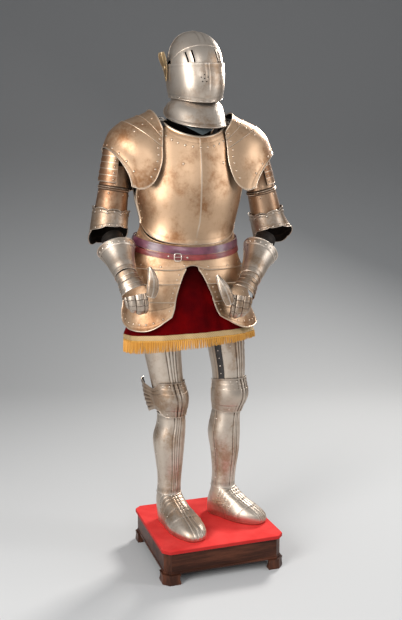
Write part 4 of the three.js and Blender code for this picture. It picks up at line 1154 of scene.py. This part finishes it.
# ------------------------------------------------------------------ shoulders and arms
# Russet pauldrons of lames on a wing, narrow arm lames, a closed upper cannon, a broad grey
# elbow piece with scalloped edges, a dark lower cannon and a flaring gauntlet with scales.

CHEST, LEAN = -31, 0.14
HOOP = table("at endX endY endZ crownX crownZ", [
    (0, 112, -76, 1547, 148, 1619), (1, 114, -86, 1517, 190, 1598), (2, 116, -96, 1486, 243, 1575),
    (3, 120, -108, 1433, 282, 1543), (4, 146, -112, 1370, 298, 1514), (4.5, 182, -110, 1346, 303, 1500),
    (5, 220, -100, 1354, 306, 1486)])
ARMS = {
    "right": dict(shoulder=(-282, 20, 1500), elbow=(-320, 34, 1215), wrist=(-300, -136, 1062), flare=0,
                  knuckles=(-280, -172, 1006), curl=(-272, -170, 966), tips=(-266, -138, 952),
                  back=(-0.35, -1, 0.25),
                  thumb=((-232, -190, 998), (-225, -194, 1044), (-232, -178, 1090))),
    "left": dict(shoulder=(204, 20, 1500), elbow=(284, 34, 1208), wrist=(138, -134, 1040), flare=20,
                 knuckles=(98, -170, 990), curl=(90, -168, 940), tips=(92, -138, 922), back=(0.1, -1, 0.25),
                 thumb=((44, -190, 964), (24, -192, 1010), (4, -172, 1056))),
}
UPPER = table("at radius", [(0.24, 46), (0.44, 49), (0.5, 52), (0.56, 52), (0.8, 56)])
ELBOW = table("at side front back", [
    (0.76, 61, 61, 61), (0.86, 64, 65, 66), (1, 65, 68, 72), (1.1, 65, 68, 74), (1.3, 60, 62, 70)])
CUFF = table("at side", [(0.38, 66), (0.5, 60), (0.7, 48), (0.86, 43), (1, 42)])


def on_limb(start, end, front, at, angle, side, front_depth=None, back_depth=None):
    """A ring square to the line from start to end; angle 0 lies towards front."""
    a, line = np.array(start, float), np.subtract(end, start).astype(float)
    front_depth = side if front_depth is None else front_depth
    back_depth = front_depth if back_depth is None else back_depth
    axis = unit(line)
    forward = unit(np.asarray(front, float) - axis * np.dot(front, axis))
    across = np.cross(axis, forward)
    r = np.radians(angle)
    depth = np.where(np.cos(r) > 0, front_depth, back_depth)
    return (a + np.multiply.outer(np.asarray(at, float), line) + (side * np.sin(r))[..., None] * across
            + (depth * np.cos(r))[..., None] * forward)


def on_curve(points, fronts, at, angle, side, depth=None):
    """A ring square to a curve through three points (a parabola that meets the middle one
    half-way), its front turning with it."""
    p, q, r = (np.array(x, float) for x in points)
    control = 2 * q - 0.5 * p - 0.5 * r
    t = np.asarray(at, float)[..., None]
    spot = (1 - t) ** 2 * p + 2 * t * (1 - t) * control + t * t * r
    axis = unit(2 * (1 - t) * (control - p) + 2 * t * (r - control))
    front = mix(unit(fronts[0]), unit(fronts[1]), t)
    forward = unit(front - axis * (front * axis).sum(-1, keepdims=True))
    across = np.cross(axis, forward)
    a = np.radians(angle)
    depth = side if depth is None else depth
    return spot + (side * np.sin(a))[..., None] * across + (depth * np.cos(a))[..., None] * forward


for hand, side in HANDS:
    arm = ARMS[hand]

    def outward(u, start, end, side=side):
        """The angle at u, mirrored for the left arm."""
        return mix(-end, -start, u) if side > 0 else mix(start, end, u)

    def on_pauldron(u, v, side=side):
        """Hoops from the neck outwards, each a half ellipse from front end over crown to back;
        towards the wing's lower edge they climb before they spread."""
        row = HOOP(v * 5)
        around = 1 - u if side > 0 else u
        theta = around * np.pi
        fore = around < 0.5
        end_y = np.where(fore, row["endY"], 20 + (20 - row["endY"]) * 1.1)
        end_x = CHEST + side * row["endX"] - np.where(fore, LEAN * (20 - end_y), 0)
        rise = np.maximum(np.sin(theta), 0)
        lobe = soft(v, 0.5, 1.0)
        drop = 4.4 - 2.2 * soft(v, 0.197, 0.203) - 2.2 * soft(v, 0.397, 0.403)
        return stack(mix(end_x, CHEST + side * row["crownX"], rise ** mix(1, 1.35, lobe)),
                     20 + (end_y - 20) * np.abs(np.cos(theta)),
                     mix(row["endZ"], row["crownZ"], rise ** mix(1, 0.82, lobe)) - drop)

    pauldron = Piece()
    surface = pauldron.wall(on_pauldron, 89, lines(67, 0.2, 0.4), relief=lambda u, v:
                            1.0 * soft(v, 0.955, 0.965) + 0.7 * (1 - soft(v, 0.02, 0.03)),
                            worn=lambda u, v: np.maximum.reduce([edge_wear(0.7, 0.014)(u, v), 0.9 * hump(v, 0.2, 0.014),
                                                                0.9 * hump(v, 0.4, 0.014)]))
    for v, size in ((0.0, 2.2), (0.205, 1.3), (0.405, 1.3), (1.0, 2.2)):
        pauldron.roll(surface.edge_u(v, 0.5), size, worn=0.7)
    pauldron.roll(surface.edge_v(0.0, 0.4), 2.2, worn=0.65)
    pauldron.roll(surface.edge_v(1.0, 0.4), 2.2, worn=0.65)
    near = 0.97 if side > 0 else 0.03
    sprinkle(pauldron, surface, [(u, v) for v in (0.1, 0.3, 0.47) for u in (0.035, 0.24, 0.76, 0.965)]
             + [(u, 0.93) for u in np.linspace(0.1, 0.9, 11)]
             + [(near, v) for v in (0.55, 0.63, 0.72, 0.81)],
             radius=4.1, height=2.2)
    pauldron.make(f"shoulder_plate_{hand}", "suit", [f"pauldron_{hand}"], "russet_steel", [RUSSET])

    def on_arm_lames(u, v, arm=arm):
        """Rings round the upper arm, 0.9 mm wider at each of four steps."""
        step = sum(soft(v, k / 5 - 0.003, k / 5 + 0.003) for k in range(1, 5))
        return on_limb(arm["shoulder"], arm["elbow"], FRONT, mix(0.09, 0.46, v), outward(u, 6, 186),
                       57 - 0.9 * (5 - step))

    arm_lames = Piece()
    surface = arm_lames.wall(on_arm_lames, 52, lines(44, 0.2, 0.4, 0.6, 0.8),
                             relief=lambda u, v: 0.8 * np.mod(v * 5, 1.0) - 0.4,
                             worn=lambda u, v: np.maximum(0.8 * soft(np.mod(v * 5, 1.0), 0.86, 0.98),
                                                          edge_wear(0.5, 0.02)(u, v)))
    arm_lames.roll(surface.edge_u(1.0, 0.2), 1.6, worn=0.8)
    sprinkle(arm_lames, surface, [(u, k / 5 + 0.11) for k in range(5) for u in (0.06, 0.5, 0.94)],
             radius=3.5, height=1.9)
    arm_lames.make(f"arm_lame_set_{hand}", "suit", [f"arm_lames_{hand}"], "russet_steel", [RUSSET_SHADED])

    def on_cannon(u, v, arm=arm):
        """A tube round the upper arm with the radius of UPPER."""
        at = mix(0.26, 0.79, v)
        return on_limb(arm["shoulder"], arm["elbow"], FRONT, at, u * 360 - 180, UPPER(at)["radius"])

    cannon = Piece()
    surface = cannon.wall(on_cannon, 71, 67, wrap=True,
                          relief=lambda u, v: 4.4 * hump(v, 0.487, 0.022) + 3.6 * hump(v, 0.525, 0.022),
                          worn=lambda u, v: 0.7 * hump(v, 0.487, 0.016) + 0.7 * hump(v, 0.525, 0.016)
                          + 0.4 * (v > 0.985))
    sprinkle(cannon, surface, [(0.5 + k, 0.62) for k in (-0.22, -0.08, 0.08, 0.22, 0.4)], radius=3.8,
             height=2.0)
    cannon.make(f"upper_cannon_{hand}", "suit", [f"rerebrace_{hand}"], "russet_steel", [RUSSET_SHADED])

    def on_couter(u, v, arm=arm, side=side):
        """A barrel over the elbow, its edges cut in eight scallops, whose lower edge falls behind
        and on its outer side."""
        angle = u * 360 - 180
        out = soft(-side * np.sin(np.radians(angle)), 0, 1)
        low = mix(0.965, 1.2, soft(-np.cos(np.radians(angle)), -0.75, 1)) + 0.06 * out
        notch = 1 - np.abs(np.cos(u * 2 * np.pi * 4)) ** 0.5
        at = mix(0.765 + 0.03 * notch, low - 0.02 * notch, v)
        row = ELBOW(at)
        flare = arm["flare"] * out * soft(at, 0.85, 1.1)
        return on_limb(arm["shoulder"], arm["elbow"], FRONT, at, angle, row["side"] + flare, row["front"],
                       row["back"])

    def couter_relief(u, v):
        """Eight scallops that flare at the top edge, a riveted band, and a turned lower edge."""
        top = (1 - soft(v, 0, 0.10))
        scallop = np.abs(np.cos(u * 2 * np.pi * 4))
        return (top * (1.6 + 3.4 * scallop) - 1.2 * soft(v, 0.2, 0.22) + 1.2 * soft(v, 0.84, 0.86)
                + 1.2 * soft(v, 0.97, 1.0))

    couter = Piece()
    surface = couter.wall(on_couter, 112, 48, wrap=True, relief=couter_relief,
                          worn=lambda u, v: 0.4 * (1 - soft(v, 0.0, 0.04)) + 0.4 * soft(v, 0.965, 0.99))
    couter.roll(surface.edge_u(1.0, 0.0, count=200), 1.3, closed=True, worn=0.45)
    couter.roll(surface.edge_u(0.0, 0.0, count=200), 1.1, closed=True, worn=0.45)
    sprinkle(couter, surface,
             [(k / 16, 0.14) for k in range(16)] + [(k / 16 + 0.03, 0.92) for k in range(16)], radius=3.5,
             height=1.9)
    couter.make(f"elbow_plate_{hand}", "suit", [f"couter_{hand}"], "grey_steel", [GREY_BROWN])

    fore = Piece()
    fore.wall(lambda u, v, arm=arm: on_limb(arm["elbow"], arm["wrist"], FRONT, mix(0.22, 0.86, v),
                                            u * 360 - 180, mix(38, 33, v)),
                        72, 40, wrap=True, relief=lambda u, v: 1.2 * hump(v, 0.1, 0.03),
              worn=edge_wear(0.4, 0.01))
    fore.make(f"lower_cannon_{hand}", "suit", [f"vambrace_{hand}"], "dark_steel", [DARK])

    def on_cuff(u, v, arm=arm):
        """A cone round the forearm, narrow at the wrist, its upper edge on a slant."""
        at = mix(0.39 + 0.1 * (0.5 + 0.5 * np.cos(np.radians(u * 360 - 180))), 0.99, v)
        return on_limb(arm["elbow"], arm["wrist"], FRONT, at, u * 360 - 180, CUFF(at)["side"])

    cuff = Piece()
    surface = cuff.wall(on_cuff, 96, 48, wrap=True,
                        relief=lambda u, v: 1.6 * (1 - soft(v, 0.16, 0.18))
                        - 0.8 * hump(np.abs(u - 0.5), 0.25, 0.006)
                        + 1.0 * soft(v, 0.88, 0.9) - 5.5 * soft(v, 0.7, 1.0),
                        worn=lambda u, v: 0.5 * (1 - soft(v, 0, 0.03)))
    cuff.roll(surface.edge_u(0.0, 0.2, count=140), 1.8, closed=True, worn=0.5)
    cuff.roll(surface.edge_u(1.0, 0.0, count=140), 1.2, closed=True, worn=0.4)
    sprinkle(cuff, surface, [(k / 18, 0.1) for k in range(18)], radius=3.8, height=2.1)
    cuff.make(f"gauntlet_cuff_plate_{hand}", "suit", [f"gauntlet_cuff_{hand}"], "grey_steel", [GREY])

    def on_hand(u, v, arm=arm):
        """An open shell over the back of the hand, wider to the knuckles, with one step."""
        step = 1.6 * soft(v, 0.45, 0.5)
        return on_limb(arm["wrist"], arm["knuckles"], arm["back"], mix(-0.12, 0.86, v), mix(-108, 108, u),
                       mix(33, 41, v) + step, mix(33, 26, v) + step, 22)

    def hand_relief(u, v):
        """Four lames across the back of the hand, and low ridges to the knuckles."""
        return (3.0 * (1 - soft(v, 0, 0.35)) + 1.5 * np.mod(v * 4.0, 1.0) - 0.8
                + 1.2 * soft(v, 0.8, 0.95) * np.cos((u - 0.5) * 2 * np.pi * 3.2) ** 2)

    hand_plates = Piece()
    surface = hand_plates.wall(on_hand, 52, lines(44, 0.25, 0.5, 0.75), relief=hand_relief,
                               worn=lambda u, v: np.maximum(0.7 * soft(np.mod(v * 4, 1.0), 0.88, 0.98), edge_wear(0.5, 0.02)(u, v)))
    sprinkle(hand_plates, surface, [(u, v) for v in (0.12, 0.37, 0.62) for u in (0.07, 0.93)], radius=3.0,
             height=1.6)
    hand_plates.make(f"hand_lames_{hand}", "suit", [f"hand_plates_{hand}"], "grey_steel", [GREY_BROWN])

    def on_fingers(u, v, arm=arm):
        """An open shell along a parabola from the knuckles over the curl to the tips."""
        return on_curve((arm["knuckles"], arm["curl"], arm["tips"]),
                        (arm["back"], (arm["back"][0], -0.6, -0.8)),
                        mix(0.04, 1, v), mix(-112, 112, u), 39 - 7 * v * v, 19 - 3 * v)

    def finger_relief(u, v):
        """Four rounded rows side by side with deep furrows between, each of five scales."""
        lane = np.clip((u - 0.07) / 0.86, 0, 0.9999) * 4
        furrow = (-5.5 * (1 - np.sin(np.pi * np.mod(lane, 1.0)) ** 0.5)
                  * soft(0.5 - np.abs(u - 0.5), 0.09, 0.16))
        return furrow + 1.5 * np.mod(v * 5 + 0.17 * np.floor(lane), 1.0) - 0.4

    fingers = Piece()
    # Painted shade: a stronger crease value paints the furrows between the finger rows darker.
    surface = fingers.wall(on_fingers, 104, 60, relief=finger_relief, crease=1.3)
    sprinkle(fingers, surface, [(u, v) for v in (0.12, 0.32, 0.52) for u in (0.13, 0.38, 0.62, 0.87)],
             radius=1.6, height=1.0)
    fingers.make(f"finger_scales_{hand}", "suit", [f"fingers_{hand}"], "grey_steel", [GREY_BROWN])

    def on_thumb(u, v, arm=arm, side=side):
        """A leaf along a parabola, its half width a power of a sine."""
        leaf = 19 * np.sin(np.pi * mix(0.28, 0.93, v)) ** 0.8
        return on_curve(arm["thumb"], ((-side * 0.1, -1, 0.1), (0, -1, 0.3)), v, mix(-80, 80, u), leaf,
                        np.full_like(leaf, 9.0))

    thumb = Piece()
    surface = thumb.wall(on_thumb, 27, lines(44, 0.33, 0.62),
                         relief=lambda u, v: 1.1 * hump(u, 0.5, 0.1) + tiles(1 - v, 0.38, 0.67, rise=1.0)
                         - 0.5,
                         worn=lambda u, v: np.maximum(edge_wear(0.8, 0.04)(u, v), 0.4 * hump(u, 0.5, 0.08)))
    thumb.roll(surface.border(0.0, count=40), 1.1, closed=True, worn=0.8)
    thumb.make(f"thumb_scales_{hand}", "suit", [f"thumb_{hand}"], "grey_steel", [GREY_BROWN])

# ------------------------------------------------------------------ collar and neck plates
# A slate cloth collar ends in a point under the neck plates, which are riveted lames that
# widen over it and tuck up inside the chin piece.

NECK = table("z x y side front back", [
    (1546, -13, 16, 114, 148, 112), (1580, -15, 16, 109, 132, 104), (1612, -17, 16, 104, 114, 98),
    (1636, -16, 16, 98, 94, 90), (1654, -15, 16, 80, 86, 78), (1668, -15, 16, 72, 82, 72)])
COLLAR = table("z x y side front back", [
    (1526, -30, 18, 118, 138, 92), (1580, -24, 18, 98, 110, 84), (1610, -20, 18, 76, 88, 66),
                                         (1650, -19, 18, 56, 66, 52)])


def on_collar(u, v):
    """Rings whose lower edge is lowest in front and rises as a power of the sine."""
    angle = u * 360 - 180
    low = 1526 + 64 * np.abs(np.sin(np.radians(angle))) ** 1.1 + 48 * soft(np.abs(angle), 90, 150)
    z = mix(np.minimum(low, 1590), 1640, v)
    return on_ring(COLLAR(z), angle, z)


collar = Piece()
collar.wall(on_collar, 104, 22, wrap=True, thick=VELVET, plate=False,
            relief=lambda u, v: 0.8 * np.sin(v * 9 + 4 * np.sin(u * 2 * np.pi * 3)) * (1 - v) - 0.5)
collar.make("cloth_collar", "suit", ["collar"], "slate_cloth", [SLATE], 60)


def on_neck_front(u, v):
    """Rings whose lower edge dips in front and rises as a power of the angle."""
    angle = mix(-112, 112, u)
    z = mix(1547 + 84 * (np.abs(angle) / 112) ** 1.9, 1662 - 17 * soft(np.abs(angle), 80, 98), v)
    return on_ring(NECK(z), angle, z)


neck = Piece()
surface = neck.wall(on_neck_front, 89, 44,
                    relief=lambda u, v: 1.2 * (1 - soft(v, 0.06, 0.1)) + 1.0 * soft(v, 0.84, 0.86),
                    worn=edge_wear(0.35, 0.02))
neck.roll(surface.edge_u(0.0, 0.2), 1.8, worn=0.5)
neck.roll(surface.edge_v(0.0, 0.1), 1.2, worn=0.5)
neck.roll(surface.edge_v(1.0, 0.1), 1.2, worn=0.5)
sprinkle(neck, surface, [(u, 0.9) for u in (0.2, 0.35, 0.65, 0.8)], radius=3.0, height=1.5, worn=0.3)
neck.make("neck_plate_front", "suit", ["helm_neck_front"], "grey_steel", [GREY])


def on_nape(u, v):
    """A short band behind, its lower edge 10 mm higher in the middle by cos ** 4."""
    angle = mix(114, 246, u)
    z = mix(1610 + 10 * np.cos(np.radians(angle)) ** 4, 1645, v)
    return on_ring(NECK(z), angle, z)


nape = Piece()
surface = nape.wall(on_nape, 52, 18, worn=edge_wear(0.35, 0.02))
nape.roll(surface.edge_u(0.0, 0.2), 1.8, worn=0.5)
nape.make("neck_plate_back", "suit", ["helm_neck_back"], "grey_steel", [GREY])

# ------------------------------------------------------------------ helmet
# A close helmet of grey steel: skull with a low medial ridge, a visor with upright sights and a
# ledge below them, and a chin piece with breath holes, all turning on pivots at the temples.

HEAD = np.array([-18.0, 16.0, 1764.0])
TURN, ROLL = math.radians(4), math.radians(-3.5)
BOX = 2.3
SKULL = dict(half=89.3, radius=111.3, low=62, side=80)
VISOR = dict(half=95, radius=117.5, low=-10, high=82, side=76)
SIGHT_AT, SIGHT_LOW, SIGHT_HIGH, SIGHT_WIDE, SIGHT_SLANT = (-36, -23, 23, 36), -1, 22, 3.6, 3.5
NAPE = table("z side back", [(-112, 76, 102), (-80, 82, 106), (-40, 87, 110), (0, 89.3, 111.3)])
CHIN = table("z side front back", [
    (-132, 84, 108, 84), (-124, 81, 105, 82), (-108, 87, 114, 86), (-80, 94, 124, 90), (-45, 97.5, 128, 92),
    (-12, 98.7, 124, 92), (14, 99, 122, 92)])
HEAD_X = np.array([math.cos(TURN) * math.cos(ROLL), math.sin(TURN) * math.cos(ROLL), -math.sin(ROLL)])
HEAD_Y = np.array([-math.sin(TURN), math.cos(TURN), 0.0])
HEAD_Z = np.cross(HEAD_X, HEAD_Y)


def on_head(p):
    """From the helmet's own frame to the suit's."""
    return HEAD + p[..., 0:1] * HEAD_X + p[..., 1:2] * HEAD_Y + p[..., 2:3] * HEAD_Z


def boxed(x):
    """Squares off a sine or cosine, for sections between an ellipse and a box."""
    return np.sign(x) * np.abs(x) ** (2 / BOX)


def on_ball(size, side, lift):
    """A ball-like surface turned about the temples: side runs temple to temple, lift from 0 at
    the face over the crown to 180 behind."""
    a, b = np.radians(side), np.radians(lift)
    out = boxed(np.cos(a))
    return stack(size["half"] * boxed(np.sin(a)), -size["radius"] * out * np.cos(b),
                 size["radius"] * out * np.sin(b))


def on_skull(u, v):
    """The ball over the crown up to v = 0.72, then rings of the nape straight down."""
    side = mix(-SKULL["side"], SKULL["side"], u)
    over = on_ball(SKULL, side, mix(SKULL["low"], 180, np.minimum(v / 0.72, 1)))
    z = mix(0, -110, np.clip((v - 0.72) / 0.28, 0, 1))
    row = NAPE(z)
    down = stack(row["side"] * boxed(np.sin(np.radians(side))),
                 row["back"] * boxed(np.cos(np.radians(side))), z)
    return np.where((v < 0.72)[..., None], over, down)


# Painted shade: a broad band down the middle of the skull, from behind the brow to the nape, is painted darker.
skull = Piece()
surface = skull.wall(on_skull, 81, 73, place=on_head,
                     relief=lambda u, v: 2.6 * hump(u, 0.5, 0.03) * soft(v, 0.02, 0.1)
                     * (1 - soft(v, 0.7, 0.85)) - 0.4 * hump(v, 0.86, 0.006),
                     worn=lambda u, v: np.maximum(0.3 * hump(u, 0.5, 0.02), edge_wear(0.3, 0.01)(u, v))
                     - 0.25 * hump(u, 0.5, 0.2) * soft(v, 0.0, 0.2))
skull.roll(surface.edge_u(1.0, 0.2), 2.2, worn=0.65)
skull.make("skull_plate", "suit", ["helm_skull"], "grey_steel", [GREY_BROWN])


def visor_side(u):
    """The side angle at u, from temple to temple."""
    return mix(-VISOR["side"], VISOR["side"], u)


def visor_lift(v):
    """The angle up over the face at v."""
    return mix(VISOR["low"], VISOR["high"], v)


def on_visor(u, v):
    """The ball over the face, its columns leaning at the sights."""
    lift = visor_lift(v)
    lean = SIGHT_SLANT * (soft(lift, SIGHT_LOW, SIGHT_HIGH) - 0.5) * (1 - soft(lift, 20, 50))
    return on_ball(VISOR, visor_side(u) - lean, lift)


def in_sight(u, v):
    """Whether a spot lies inside one of the four upright sights."""
    lift, side = visor_lift(v), visor_side(u)
    near = np.min([np.abs(side - a) for a in SIGHT_AT], axis=0)
    return (lift > SIGHT_LOW) & (lift < SIGHT_HIGH) & (near < SIGHT_WIDE / 2)


def visor_relief(u, v):
    """A raised rim round each sight, a ledge under them, and a step where the brow plate ends."""
    lift, side = visor_lift(v), visor_side(u)
    near = np.min([np.abs(side - a) for a in SIGHT_AT], axis=0)
    band = soft(lift, SIGHT_LOW - 4, SIGHT_LOW) * (1 - soft(lift, SIGHT_HIGH, SIGHT_HIGH + 4))
    brow = 1.5 * soft(lift, 28, 29) * (1 - soft(np.abs(side), 60, 74))
    return (0.8 * band * hump(near, SIGHT_WIDE / 2, 2.4) + 1.6 * hump(lift, -6, 3) + brow * 0.8
            + 1.6 * hump(side, 0, 4) * soft(lift, 26, 40))


edges = [a + s * SIGHT_WIDE / 2 for a in SIGHT_AT for s in (-1, 1)]
cols = np.unique(np.concatenate([np.linspace(-VISOR["side"], VISOR["side"], 80), edges]))
cols = np.array([c for c in cols if c in edges or min(abs(c - e) for e in edges) > 0.4])
rows = np.unique(np.concatenate([np.linspace(VISOR["low"], VISOR["high"], 70),
                                 [SIGHT_LOW, SIGHT_HIGH, 28, 29]]))
visor = Piece()
surface = visor.wall(on_visor, (cols / VISOR["side"] + 1) / 2,
                     (rows - VISOR["low"]) / (VISOR["high"] - VISOR["low"]), place=on_head,
                     relief=visor_relief, skip=in_sight,
                     worn=lambda u, v: np.maximum(edge_wear(0.3, 0.016)(u, v),
                                                  0.4 * hump(visor_lift(v), -6, 4)))
visor.roll(surface.edge_u(1.0, 0.0), 0.8, worn=0.1)
visor.make("visor_plate", "visor", ["helm_visor"], "grey_steel", [GREY])


def on_chin(u, v):
    """Boxed rings; both edges rise to the temples as powers of the angle."""
    angle = mix(-102, 102, u)
    far = np.abs(angle) / 102
    z = mix(-130 + 36 * far ** 1.4, -3 + 16 * far ** 2, v)
    row = CHIN(z)
    depth = np.where(np.cos(np.radians(angle)) > 0, row["front"], row["back"])
    return stack(row["side"] * boxed(np.sin(np.radians(angle))),
                 -depth * boxed(np.cos(np.radians(angle))), z)


def chin_place(u, v):
    """Where a spot of the chin piece lies: across, up and depth."""
    p = on_chin(u, v)
    return p[..., 0], p[..., 2], p[..., 1]


def in_breath(u, v):
    """Six round holes in the right cheek: one in the middle and five round it."""
    x, z, y = chin_place(u, v)
    hole = np.zeros(u.shape, bool)
    for k in range(6):
        a, r = math.pi / 2 + k / 5 * 2 * math.pi, 0 if k == 5 else 12
        hole |= np.hypot(x + 14 - r * math.cos(a), z + 54 - r * math.sin(a)) < 2.3
    return hole & (y < 0)


chin = Piece()
fine_u = np.linspace(0.36, 0.53, 62)
fine_v = np.linspace(0.42, 0.76, 56)
cols = np.unique(np.round(np.concatenate([np.linspace(0, 1, 64), fine_u]), 5))
rows = np.unique(np.round(np.concatenate([np.linspace(0, 1, 32), fine_v]), 5))
surface = chin.wall(on_chin, cols, rows, place=on_head, skip=in_breath,
                    relief=lambda u, v: 1.4 * hump(u, 0.5, 0.02) * soft(v, 0.1, 0.3)
                    + 1.0 * soft(v, 0.93, 0.95) + 1.0 * (1 - soft(v, 0.06, 0.075)),
                    worn=lambda u, v: np.maximum(edge_wear(0.5, 0.012)(u, v), 0.25 * hump(u, 0.5, 0.03)))
chin.roll(surface.edge_u(1.0, 0.0), 1.0, worn=0.3)
chin.roll(surface.edge_u(0.0, 0.1), 1.5, worn=0.4)
sprinkle(chin, surface, [(u, 0.035) for u in np.linspace(0.08, 0.92, 9)], radius=3.0, height=1.5, worn=0.4)
chin.make("chin_plate", "bevor", ["helm_bevor"], "grey_steel", [GREY])

for hand, side in HANDS:
    def on_side_plate(u, v, side=side):
        """A tall leaf over the pivot, its rear half standing away from the helmet."""
        taper = mix(0.45, 1, soft(v, 0, 0.6)) * (1 - 0.35 * np.abs(2 * v - 1) ** 3)
        y = mix(-17, 17, u if side > 0 else 1 - u) * taper
        flare = 2 if side > 0 else 11 + 0.45 * y
        return stack(side * (104 + flare * soft(v, 0.3, 1)), y, mix(-44, 50, v))

    leaf = Piece()
    surface = leaf.wall(on_side_plate, 18, 44, thick=2, place=on_head,
                        relief=lambda u, v: 1.2 * hump(u, 0.5, 0.16) * soft(v, 0.45, 0.7),
                        worn=edge_wear(0.8, 0.06))
    leaf.roll(surface.border(-1.0, count=40), 1.2, closed=True, worn=0.4)
    sprinkle(leaf, surface, [(0.5, 0.47)], radius=7.0, height=4.0, worn=0.6)
    sprinkle(leaf, surface, [(0.5, 0.12), (0.5, 0.88)], radius=3.2, height=1.8)
    leaf.make(f"pivot_leaf_{hand}", "suit", [f"helm_side_plate_{hand}"], "pale_brass", [BRASS])

# ------------------------------------------------------------------ room, light and camera
# A pale floor that curves up into a grey wall, a soft key from the right and behind, a fill
# from the left in front, and the camera at chest height to the figure's right of its front.


def on_floor(u, v):
    """Flat floor that bends up into a wall along a quarter circle."""
    x = mix(-9, 9, u)
    d = v * 12.0
    bend = np.clip((d - 6.5) / 3.0, 0, 1) * np.pi / 2
    y = np.where(d < 6.5, d - 4, 2.5 + 1.9 * np.sin(bend))
    z = np.where(d < 6.5, 0, 1.9 * (1 - np.cos(bend)) + np.clip(d - 9.5, 0, None) * 2.2)
    return stack(x, y, z)


CAMERA_TURN, CAMERA_DOWN = -18.68, 7.73
us, vs = np.meshgrid(np.linspace(0, 1, 3), np.linspace(0, 1, 121))
grid_points = turned(on_floor(us, vs), CAMERA_TURN).reshape(-1, 3)
ids = np.arange(us.size).reshape(us.shape)
floor_mesh = bpy.data.meshes.new("studio_floor")
floor_mesh.from_pydata(grid_points.tolist(), [],
                       np.stack([ids[:-1, :-1], ids[:-1, 1:], ids[1:, 1:], ids[1:, :-1]],
                                -1).reshape(-1, 4).tolist())
floor_mesh.polygons.foreach_set("use_smooth", np.ones(len(floor_mesh.polygons), bool))
studio = Look("studio_grey", Roughness=0.9, Specular_IOR_Level=0.1)
height = studio.object.node("ShaderNodeSeparateXYZ", None, {0: studio.object}, "Z")
away = studio.object.node("ShaderNodeVectorMath", {"operation": "DOT_PRODUCT"},
                          {0: studio.object, 1: (0.32, 0.947, 0)}, 1)
# Painted shade: the floor is painted darker away from the camera and the wall darker upwards, standing in for the
# fall-off of the studio light.
near = away.ramp(-0.8, 3.2).tint((0.68, 0.68, 0.68), (0.48, 0.48, 0.48))
studio.set(Base_Color=height.ramp(-0.3, 2.0).tint(near, (0.235, 0.235, 0.237)))
floor_mesh.materials.append(studio.material)
floor = bpy.data.objects.new("studio_floor", floor_mesh)
bpy.context.scene.collection.objects.link(floor)
floor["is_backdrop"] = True

world = bpy.data.worlds.new("studio")
bpy.context.scene.world = world
world.use_nodes = True
world.node_tree.nodes["Background"].inputs["Color"].default_value = (0.86, 0.90, 0.94, 1)
world.node_tree.nodes["Background"].inputs["Strength"].default_value = 0.39


def soft_light(name, place, aim, size, power, colour):
    """A square studio light that looks from one point to another."""
    data = bpy.data.lights.new(name, "AREA")
    data.shape, data.size, data.size_y = "RECTANGLE", size[0], size[1]
    data.energy, data.color = power, colour
    lamp = bpy.data.objects.new(name, data)
    lamp.location = place
    lamp.rotation_euler = (Vector(aim) - Vector(place)).to_track_quat("-Z", "Y").to_euler()
    bpy.context.scene.collection.objects.link(lamp)


soft_light("key", (2.3, 1.9, 2.8), (0, 0, 0.9), (0.8, 1.1), 112, (1.0, 0.98, 0.95))
soft_light("left", (-2.5, -1.7, 1.9), (0, 0, 1.0), (1.4, 2.4), 78, (1.0, 0.99, 0.97))
soft_light("right", (2.7, -1.5, 1.9), (0, 0, 1.0), (0.6, 2.4), 24, (0.98, 0.99, 1.0))
soft_light("front", (-0.4, -3.6, 2.7), (0, 0, 0.9), (1.2, 1.2), 18, (1, 1, 1))

camera_data = bpy.data.cameras.new("camera")
camera_data.lens, camera_data.sensor_width = 44.13, 36
camera = bpy.data.objects.new("camera", camera_data)
camera.location = (-0.8635, -2.5685, 1.2875)
camera.rotation_euler = (math.radians(90 - CAMERA_DOWN), 0, math.radians(CAMERA_TURN))
bpy.context.scene.collection.objects.link(camera)
bpy.context.scene.camera = camera
bpy.context.scene.view_settings.view_transform = "Standard"

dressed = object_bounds()
plain = lambda box: [[float(x) for x in corner] for corner in box]
{"solid": plain(solid_bounds), "dressed": plain(dressed)}
